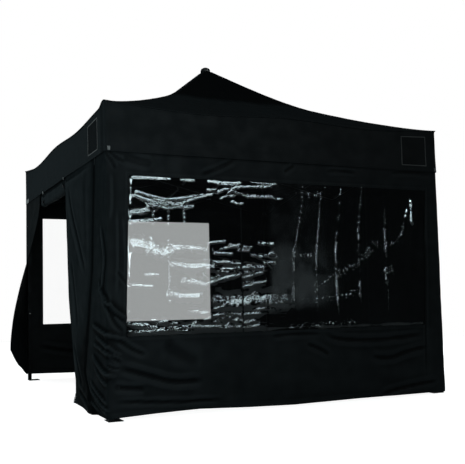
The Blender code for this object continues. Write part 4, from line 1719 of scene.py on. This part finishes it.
@dataclass
class Studio:
    """A plain pale floor, soft lamps and the camera."""

    camera_place: tuple[float, float, float] = (-2.80, -6.24, 0.85)
    yaw: float = 23.05
    pitch: float = 4.2
    roll: float = -1.08
    focal_pixels: float = 709.0
    image: tuple[int, int] = (465, 464)
    principal: tuple[float, float] = (184.0, 245.0)

    def build(self) -> None:
        """Sets up the studio."""
        self.add_camera()
        self.add_floor()
        self.add_world()
        self.add_lamp("left_soft", (-5.2, 1.2, 2.7), (-1.4, -0.2, 1.3), (2.0, 2.0), 100.0, mirrored=False)
        self.add_lamp("front_soft", (-2.6, -3.5, 1.55), (-2.0, -1.5, 1.1), (1.3, 1.3), 32.0, mirrored=False)
        self.add_lamp("fill", (0.6, -7.2, 2.6), (0.0, -1.5, 1.0), (3.0, 3.0), 6.0, mirrored=False)
        self.add_lamp("top_soft", (-1.2, -1.6, 6.4), (0.0, 0.0, 2.4), (2.5, 2.5), 26.0, mirrored=False)
        self.add_lamp("right_soft", (7.0, -0.4, 3.2), (1.6, 0.0, 1.4), (2.5, 2.5), 260.0, mirrored=False)
        self.add_lamp("back_soft", (2.0, 7.2, 3.4), (0.4, 1.5, 1.5), (2.5, 2.5), 230.0, mirrored=False)
        self.add_lamp("high_front", (1.2, -6.6, 4.6), (-0.6, -1.5, 1.2), (4.2, 1.4), 235.0)
        self.add_lamp("front_strip", (-0.25, -7.6, 1.7), (0.1, -1.5, 1.3), (0.7, 2.2), 55.0)
        bpy.context.scene.view_settings.view_transform = "Standard"

    def add_camera(self) -> None:
        """Makes the camera that was fitted to the photograph's corners."""
        yaw, pitch, roll = (math.radians(angle) for angle in (self.yaw, self.pitch, self.roll))
        ahead = Vector((math.sin(yaw) * math.cos(pitch), math.cos(yaw) * math.cos(pitch), math.sin(pitch)))
        level = Vector((math.cos(yaw), -math.sin(yaw), 0.0))
        upper = level.cross(ahead)
        right = level * math.cos(roll) + upper * math.sin(roll)
        up = -level * math.sin(roll) + upper * math.cos(roll)
        data = bpy.data.cameras.new("camera")
        width, height = self.image
        data.sensor_width = 36.0
        data.lens = self.focal_pixels * data.sensor_width / width
        data.shift_x = (width / 2 - self.principal[0]) / width
        data.shift_y = (self.principal[1] - height / 2) / width
        camera = bpy.data.objects.new("camera", data)
        bpy.context.scene.collection.objects.link(camera)
        rows = Matrix((right, up, -ahead)).transposed().to_4x4()
        camera.matrix_world = Matrix.Translation(self.camera_place) @ rows
        bpy.context.scene.camera = camera

    def add_floor(self) -> None:
        """Makes the plain pale floor, which stays pale in the camera's eye where the tent shades it."""
        builder = bmesh.new()
        bmesh.ops.create_circle(builder, cap_ends=True, segments=64, radius=9.0)
        bmesh.ops.translate(builder, vec=(0, 0, -0.001), verts=builder.verts)
        mesh = bpy.data.meshes.new("floor")
        builder.to_mesh(mesh)
        builder.free()
        bench = NodeBench("pale_floor")
        seen = bench.wire("ShaderNodeLightPath", output="Is Camera Ray")
        matt = bench.add("ShaderNodeBsdfDiffuse", inputs={"Color": (0.5, 0.5, 0.5, 1.0)})
        lit = bench.add("ShaderNodeEmission", inputs={"Color": (1.0, 1.0, 1.0, 1.0), "Strength": 0.92})
        bright = bench.add("ShaderNodeAddShader")
        bench.tree.links.new(matt.outputs[0], bright.inputs[0])
        bench.tree.links.new(lit.outputs[0], bright.inputs[1])
        mixed = bench.add("ShaderNodeMixShader", inputs={0: seen})
        bench.tree.links.new(matt.outputs[0], mixed.inputs[1])
        bench.tree.links.new(bright.outputs[0], mixed.inputs[2])
        mesh.materials.append(bench.finish(mixed))
        floor = bpy.data.objects.new("floor", mesh)
        bpy.context.scene.collection.objects.link(floor)

    def add_world(self) -> None:
        """Makes a white surround for the camera that lights the tent only dimly."""
        world = bpy.data.worlds.new("studio")
        world.use_nodes = True
        tree = world.node_tree
        tree.nodes.clear()
        path = tree.nodes.new("ShaderNodeLightPath")
        white, dim = tree.nodes.new("ShaderNodeBackground"), tree.nodes.new("ShaderNodeBackground")
        white.inputs[0].default_value = (1.0, 1.0, 1.0, 1.0)
        dim.inputs[0].default_value = (0.016, 0.018, 0.019, 1.0)
        mixed, output = tree.nodes.new("ShaderNodeMixShader"), tree.nodes.new("ShaderNodeOutputWorld")
        for start, end in (
            (path.outputs["Is Camera Ray"], mixed.inputs[0]),
            (dim.outputs[0], mixed.inputs[1]),
            (white.outputs[0], mixed.inputs[2]),
            (mixed.outputs[0], output.inputs[0]),
        ):
            tree.links.new(start, end)
        bpy.context.scene.world = world

    def add_lamp(
        self,
        name: str,
        place: tuple[float, float, float],
        target: tuple[float, float, float],
        size: tuple[float, float],
        power: float,
        mirrored: bool = True,
    ) -> None:
        """Makes one soft lamp, which either lights the cloth or shines in the film and the metal.

        Args:
            name: The lamp's name.
            place: Where it stands.
            target: What it faces.
            size: Its width and height.
            power: Its power in watts.
            mirrored: Whether it only shines in what mirrors it, or only lights what doesn't.
        """
        data = bpy.data.lights.new(name, "AREA")
        data.shape = "RECTANGLE"
        data.size, data.size_y = size
        data.energy = power
        data.color = (0.86, 0.98, 1.0)
        lamp = bpy.data.objects.new(name, data)
        lamp.visible_camera = False
        lamp.visible_glossy = mirrored
        lamp.visible_diffuse = not mirrored
        bpy.context.scene.collection.objects.link(lamp)
        facing = Vector(target) - Vector(place)
        lamp.matrix_world = Matrix.Translation(place) @ facing.to_track_quat("-Z", "Y").to_matrix().to_4x4()


CORNER_WRAP = ((0.0, 0.28), (0.08, 0.36), (0.3, 0.56), (0.61, 0.47), (1.06, 0.34), (1.5, 0.29), (1.9, 0.255), (2.2, 0.25))
CORNER_FOLDS = (
    *(
        Fold(path, height, width, FoldKind.RIDGE)
        for height, width, path in (
            (0.020, 0.016, ((-1.70, 0.98), (-1.60, 0.90), (-1.486, 0.818), (-1.43, 0.762), (-1.373, 0.719), (-1.30, 0.69))),
            (0.016, 0.014, ((-1.88, 0.66), (-1.58, 0.611), (-1.432, 0.586), (-1.318, 0.553))),
            (0.015, 0.013, ((-1.78, 0.58), (-1.489, 0.52), (-1.434, 0.477), (-1.37, 0.45))),
            (0.012, 0.011, ((-1.84, 0.52), (-1.60, 0.49), (-1.48, 0.445))),
            (0.012, 0.010, ((-1.56, 0.49), (-1.493, 0.468), (-1.40, 0.435))),
            (0.018, 0.016, ((-1.88, 0.44), (-1.595, 0.337), (-1.41, 0.31))),
            (0.013, 0.012, ((-1.82, 0.36), (-1.62, 0.27), (-1.48, 0.245))),
            (0.018, 0.012, ((-1.95, 0.21), (-1.695, 0.12), (-1.46, 0.075))),
            (0.014, 0.010, ((-1.94, 0.25), (-1.70, 0.165), (-1.48, 0.12))),
            (0.014, 0.009, ((-1.82, 0.13), (-1.62, 0.075), (-1.48, 0.05))),
            (0.015, 0.010, ((-2.06, 0.15), (-1.85, 0.086), (-1.68, 0.05))),
            (0.011, 0.022, ((-1.63, 1.40), (-1.516, 1.147), (-1.57, 1.0), (-1.62, 0.84))),
            (0.004, 0.012, ((-1.41, 1.50), (-1.405, 1.10), (-1.42, 0.85))),
            (0.0035, 0.010, ((-1.365, 1.45), (-1.35, 1.15), (-1.36, 0.95))),
            (0.004, 0.014, ((-1.45, 1.75), (-1.44, 1.55), (-1.46, 1.38))),
        )
    ),
    Fold(((-1.62, 0.87), (-1.486, 0.783), (-1.41, 0.72), (-1.33, 0.68)), 0.008, 0.012),
    Fold(((-1.42, 1.05), (-1.36, 0.98), (-1.33, 0.93)), 0.004, 0.010),
)
FRONT_FOLDS = (
    *CORNER_FOLDS,
    Fold(((-1.42, 0.376), (-1.2, 0.308), (-0.99, 0.24), (-0.745, 0.25)), 0.010, 0.022),
    Fold(((-1.45, 0.241), (-1.33, 0.222), (-1.2, 0.215)), 0.006, 0.018),
    Fold(((-1.45, 0.138), (-0.915, 0.099), (-0.6, 0.1)), 0.006, 0.013),
    Fold(((-1.42, 0.57), (-1.288, 0.48), (-1.2, 0.45)), 0.006, 0.014),
    Fold(((-1.08, 0.54), (-0.93, 0.44), (-0.78, 0.36)), 0.006, 0.045),
    Fold(((-0.2, 0.541), (0.0, 0.55), (0.26, 0.545)), 0.005, 0.014),
    Fold(((0.28, 0.548), (0.434, 0.485), (0.855, 0.469), (1.3, 0.505)), 0.010, 0.018),
    Fold(((0.12, 0.475), (0.24, 0.43), (0.34, 0.375)), 0.005, 0.016),
    Fold(((0.72, 0.35), (0.908, 0.312), (1.117, 0.372), (1.35, 0.4)), 0.008, 0.020),
    Fold(((0.80, 0.03), (1.122, 0.085), (1.42, 0.11)), 0.009, 0.018),
    Fold(((-1.5, 0.9), (-1.475, 0.77), (-1.42, 0.66), (-1.36, 0.61)), 0.008, 0.013),
    Fold(((-1.5, 0.52), (-1.46, 0.45), (-1.38, 0.4)), 0.006, 0.010),
    Fold(((-1.5, 0.40), (-1.45, 0.368), (-1.4, 0.365)), 0.005, 0.008),
    Fold(((-0.76, 1.755), (-0.635, 1.796), (-0.46, 1.885)), 0.005, 0.014),
    Fold(((-0.04, 1.81), (0.066, 1.875)), 0.004, 0.013),
    Fold(((-1.49, 1.88), (-1.44, 1.82), (-1.41, 1.76)), 0.004, 0.010),
    Fold(((-1.47, 1.89), (-1.40, 1.84), (-1.34, 1.82)), 0.004, 0.010),
    Fold(((-1.36, 1.865), (-1.25, 1.83), (-1.13, 1.815)), 0.005, 0.026),
    Fold(((0.35, 1.84), (0.5, 1.85), (0.66, 1.84)), 0.004, 0.012),
    Fold(((0.98, 1.86), (1.2, 1.875), (1.45, 1.86)), 0.004, 0.013),
    Fold(((1.345, 1.76), (1.335, 1.2), (1.3, 0.4), (1.29, 0.1)), 0.004, 0.009),
)

FRONT_STREAKS = (
    *(
        facet(path, width)
        for width, path in (
            (0.0071, ((-1.31, 1.705), (-1.156, 1.708), (-0.98, 1.708))),
            (0.0056, ((-0.92, 1.706), (-0.80, 1.706))),
            (0.0071, ((-0.71, 1.706), (-0.554, 1.698), (-0.40, 1.704))),
            (0.0061, ((-0.34, 1.712), (-0.09, 1.71))),
            (0.0074, ((-1.32, 1.60), (-1.212, 1.556), (-1.081, 1.532), (-0.98, 1.517), (-0.844, 1.562), (-0.60, 1.628))),
            (0.0057, ((-1.30, 1.622), (-1.15, 1.578), (-1.0, 1.556), (-0.85, 1.585), (-0.70, 1.612))),
            (0.0049, ((-1.20, 1.532), (-1.08, 1.50), (-0.97, 1.492), (-0.87, 1.53))),
            (0.0066, ((-0.64, 1.605), (-0.572, 1.655), (-0.488, 1.651), (-0.39, 1.605))),
            (0.0071, ((-0.56, 1.67), (-0.341, 1.68), (-0.12, 1.69))),
            (0.0071, ((-0.39, 1.603), (-0.12, 1.612))),
            (0.0141, ((-1.35, 1.455), (-1.251, 1.462), (-1.15, 1.485))),
            (0.0092, ((-1.34, 1.395), (-1.22, 1.395), (-1.05, 1.42))),
            (0.0269, ((-1.36, 1.27), (-1.149, 1.208), (-0.97, 1.14))),
            (0.0166, ((-1.04, 1.22), (-0.852, 1.208), (-0.68, 1.19))),
            (0.0166, ((-1.03, 1.117), (-0.895, 1.068), (-0.60, 1.083))),
            (0.0166, ((-0.93, 0.983), (-0.80, 0.958), (-0.69, 0.932))),
            (0.0166, ((-1.05, 0.893), (-0.899, 0.85), (-0.73, 0.863))),
            (0.0066, ((-0.66, 1.174), (-0.49, 1.166))),
            (0.0102, ((-0.68, 1.124), (-0.444, 1.091), (-0.17, 1.048))),
            (0.0071, ((-0.70, 1.046), (-0.445, 1.06), (-0.17, 1.078))),
            (0.0102, ((-0.73, 0.945), (-0.572, 0.986), (-0.42, 1.028))),
            (0.0071, ((-0.44, 0.982), (-0.23, 1.034))),
            (0.0066, ((-0.41, 0.922), (-0.20, 0.966))),
            (0.0061, ((-0.62, 1.20), (-0.42, 1.24))),
            (0.0294, ((-0.72, 0.875), (-0.536, 0.80), (-0.451, 0.815), (-0.219, 0.828), (0.08, 0.812))),
            (0.0092, ((-0.61, 0.725), (-0.411, 0.715), (-0.21, 0.726))),
            (0.0092, ((-0.90, 0.75), (-0.70, 0.73), (-0.56, 0.70))),
            (0.0110, ((-1.37, 0.682), (-1.22, 0.66), (-1.05, 0.622), (-0.80, 0.604))),
            (0.0085, ((-1.36, 0.618), (-1.15, 0.61), (-0.92, 0.642), (-0.65, 0.628), (-0.35, 0.62), (-0.18, 0.632))),
            (0.0061, ((-1.33, 0.945), (-1.22, 0.935), (-1.13, 0.93))),
            (0.0061, ((-1.21, 1.01), (-1.14, 1.015), (-1.09, 1.01))),
        )
    ),
    *chain(-1.131, 1.38, 1.54),
    *chain(-1.018, 1.38, 1.50),
    *chain(-0.888, 1.40, 1.58),
    *chain(-1.016, 0.82, 1.28),
    *thin_facets(19, 34, (-0.72, -0.14), (0.66, 1.27)),
    *thin_facets(23, 14, (-1.25, -0.35), (0.60, 0.69)),
    *thin_facets(29, 7, (-0.66, -0.10), (1.58, 1.70)),
    *thin_facets(37, 8, (-1.15, -0.82), (1.50, 1.59)),
    *(
        Fold(path, steep * width, width, FoldKind.RIDGE)
        for steep, width, path in (
            (0.37, 0.009, ((0.04, 1.25), (0.024, 1.02))),
            (0.37, 0.009, ((0.021, 0.93), (0.015, 0.76))),
            (0.42, 0.009, ((0.249, 1.26), (0.238, 1.08))),
            (0.42, 0.009, ((0.23, 0.98), (0.224, 0.79))),
            (0.45, 0.009, ((0.432, 1.32), (0.421, 1.08))),
            (0.45, 0.010, ((0.430, 1.06), (0.430, 0.75))),
            (0.49, 0.009, ((0.652, 1.45), (0.649, 1.28))),
            (0.49, 0.010, ((0.65, 0.96), (0.645, 0.82))),
            (0.54, 0.013, ((0.914, 1.52), (0.925, 1.14))),
            (0.54, 0.013, ((0.914, 1.08), (0.924, 0.92))),
            (0.61, 0.014, ((1.10, 1.36), (1.17, 1.58))),
            (0.68, 0.020, ((1.206, 1.66), (1.21, 1.41))),
        )
    ),
)

# Low creases on the film's right part; FrontWall.wear also paints white lines along them, partly stress whitening and
# partly painted highlight.
FRONT_CREASES = tuple(
    Fold(path, 0.0010, 0.0045, FoldKind.RIDGE)
    for path in (
        ((0.134, 1.73), (0.118, 1.517), (0.063, 1.279), (0.031, 1.122), (0.022, 0.72)),
        ((0.31, 1.72), (0.257, 1.258), (0.241, 1.099), (0.231, 0.70)),
        ((0.505, 1.76), (0.477, 1.529), (0.428, 1.26), (0.426, 0.987), (0.437, 0.64)),
        ((0.712, 1.75), (0.645, 1.328), (0.656, 1.124), (0.654, 0.74)),
        ((0.924, 1.60), (0.931, 1.183), (0.93, 0.68)),
    )
)
# Arcs with no relief: FrontWall.wear only paints specks of white along them, as painted highlights.
FRONT_ARCS = tuple(
    Fold(path, 0.0, width, FoldKind.RIDGE)
    for width, path in (
        (0.017, ((0.2, 0.90), (0.333, 0.964), (0.44, 1.011), (0.568, 1.059), (0.7, 1.148), (0.86, 1.30))),
        (0.013, ((-0.16, 1.085), (-0.057, 1.106), (0.081, 1.161), (0.27, 1.16))),
        (0.010, ((0.82, 1.22), (0.957, 1.249), (1.063, 1.293), (1.12, 1.38))),
        (0.013, ((0.05, 0.805), (0.234, 0.82), (0.432, 0.825), (0.67, 0.885))),
        (0.022, ((0.88, 1.00), (0.94, 1.04), (1.0, 1.05))),
        (0.012, ((-0.05, 0.61), (0.25, 0.612), (0.62, 0.63))),
        (0.012, ((0.15, 1.63), (0.27, 1.65), (0.36, 1.70))),
    )
)

BACK_FOLDS = (
    Fold(((-1.4, 0.42), (-1.1, 0.33), (-0.75, 0.3)), 0.008, 0.022),
    Fold(((-0.5, 0.52), (-0.1, 0.47), (0.5, 0.5)), 0.006, 0.018),
    Fold(((0.6, 0.3), (0.95, 0.27), (1.38, 0.36)), 0.008, 0.022),
    Fold(((-1.35, 0.12), (-0.9, 0.09), (-0.4, 0.12)), 0.006, 0.015),
    Fold(((-1.42, 1.86), (-1.25, 1.5), (-1.2, 1.0)), 0.005, 0.04),
    Fold(((-0.98, 1.8), (-0.94, 1.3), (-0.97, 0.7)), 0.004, 0.03),
)


def main() -> None:
    """Builds the tent and its studio in order."""
    logging.basicConfig(level=logging.INFO, format="%(message)s")
    Studio().build()
    finishes = Finishes()
    FrameDressing(finishes).build()
    roof = RoofCloth(finishes)
    roof.build()
    band = ValanceBand(finishes, roof)
    band.build()
    FrontWall(
        finishes,
        Side.FRONT,
        "front",
        (-1.31, 1.345, 0.58, 1.722),
        FRONT_FOLDS,
        finishes.front_film,
        seed=5,
        lean=(-0.04, -0.005, -0.05, 0.012),
        hem_line=((-1.5, 0.02), (-1.1, 0.036), (-0.8, 0.042), (-0.4, 0.024), (0.0, 0.012), (0.6, 0.016), (1.5, 0.012)),
        left_wrap=CORNER_WRAP,
        film_spacing=(0.0071, 0.0049),
        streaks=FRONT_STREAKS,
        creases=FRONT_CREASES,
        arcs=FRONT_ARCS,
        radius=0.014,
    ).build()
    WindowWall(
        finishes,
        Side.BACK,
        "back",
        (-0.70, 1.31, 0.585, 1.735),
        BACK_FOLDS,
        finishes.back_film,
        seed=8,
        hem_line=((-1.5, 0.02), (0.2, 0.02), (0.9, 0.045), (1.5, 0.06)),
        spacing=0.0165,
    ).build()
    PlainWall(finishes).build()
    DoorwayWall(finishes).build()
    Tabs(finishes, band).build()
    Fastenings(finishes).build()


if __name__ == "__main__":
    main()
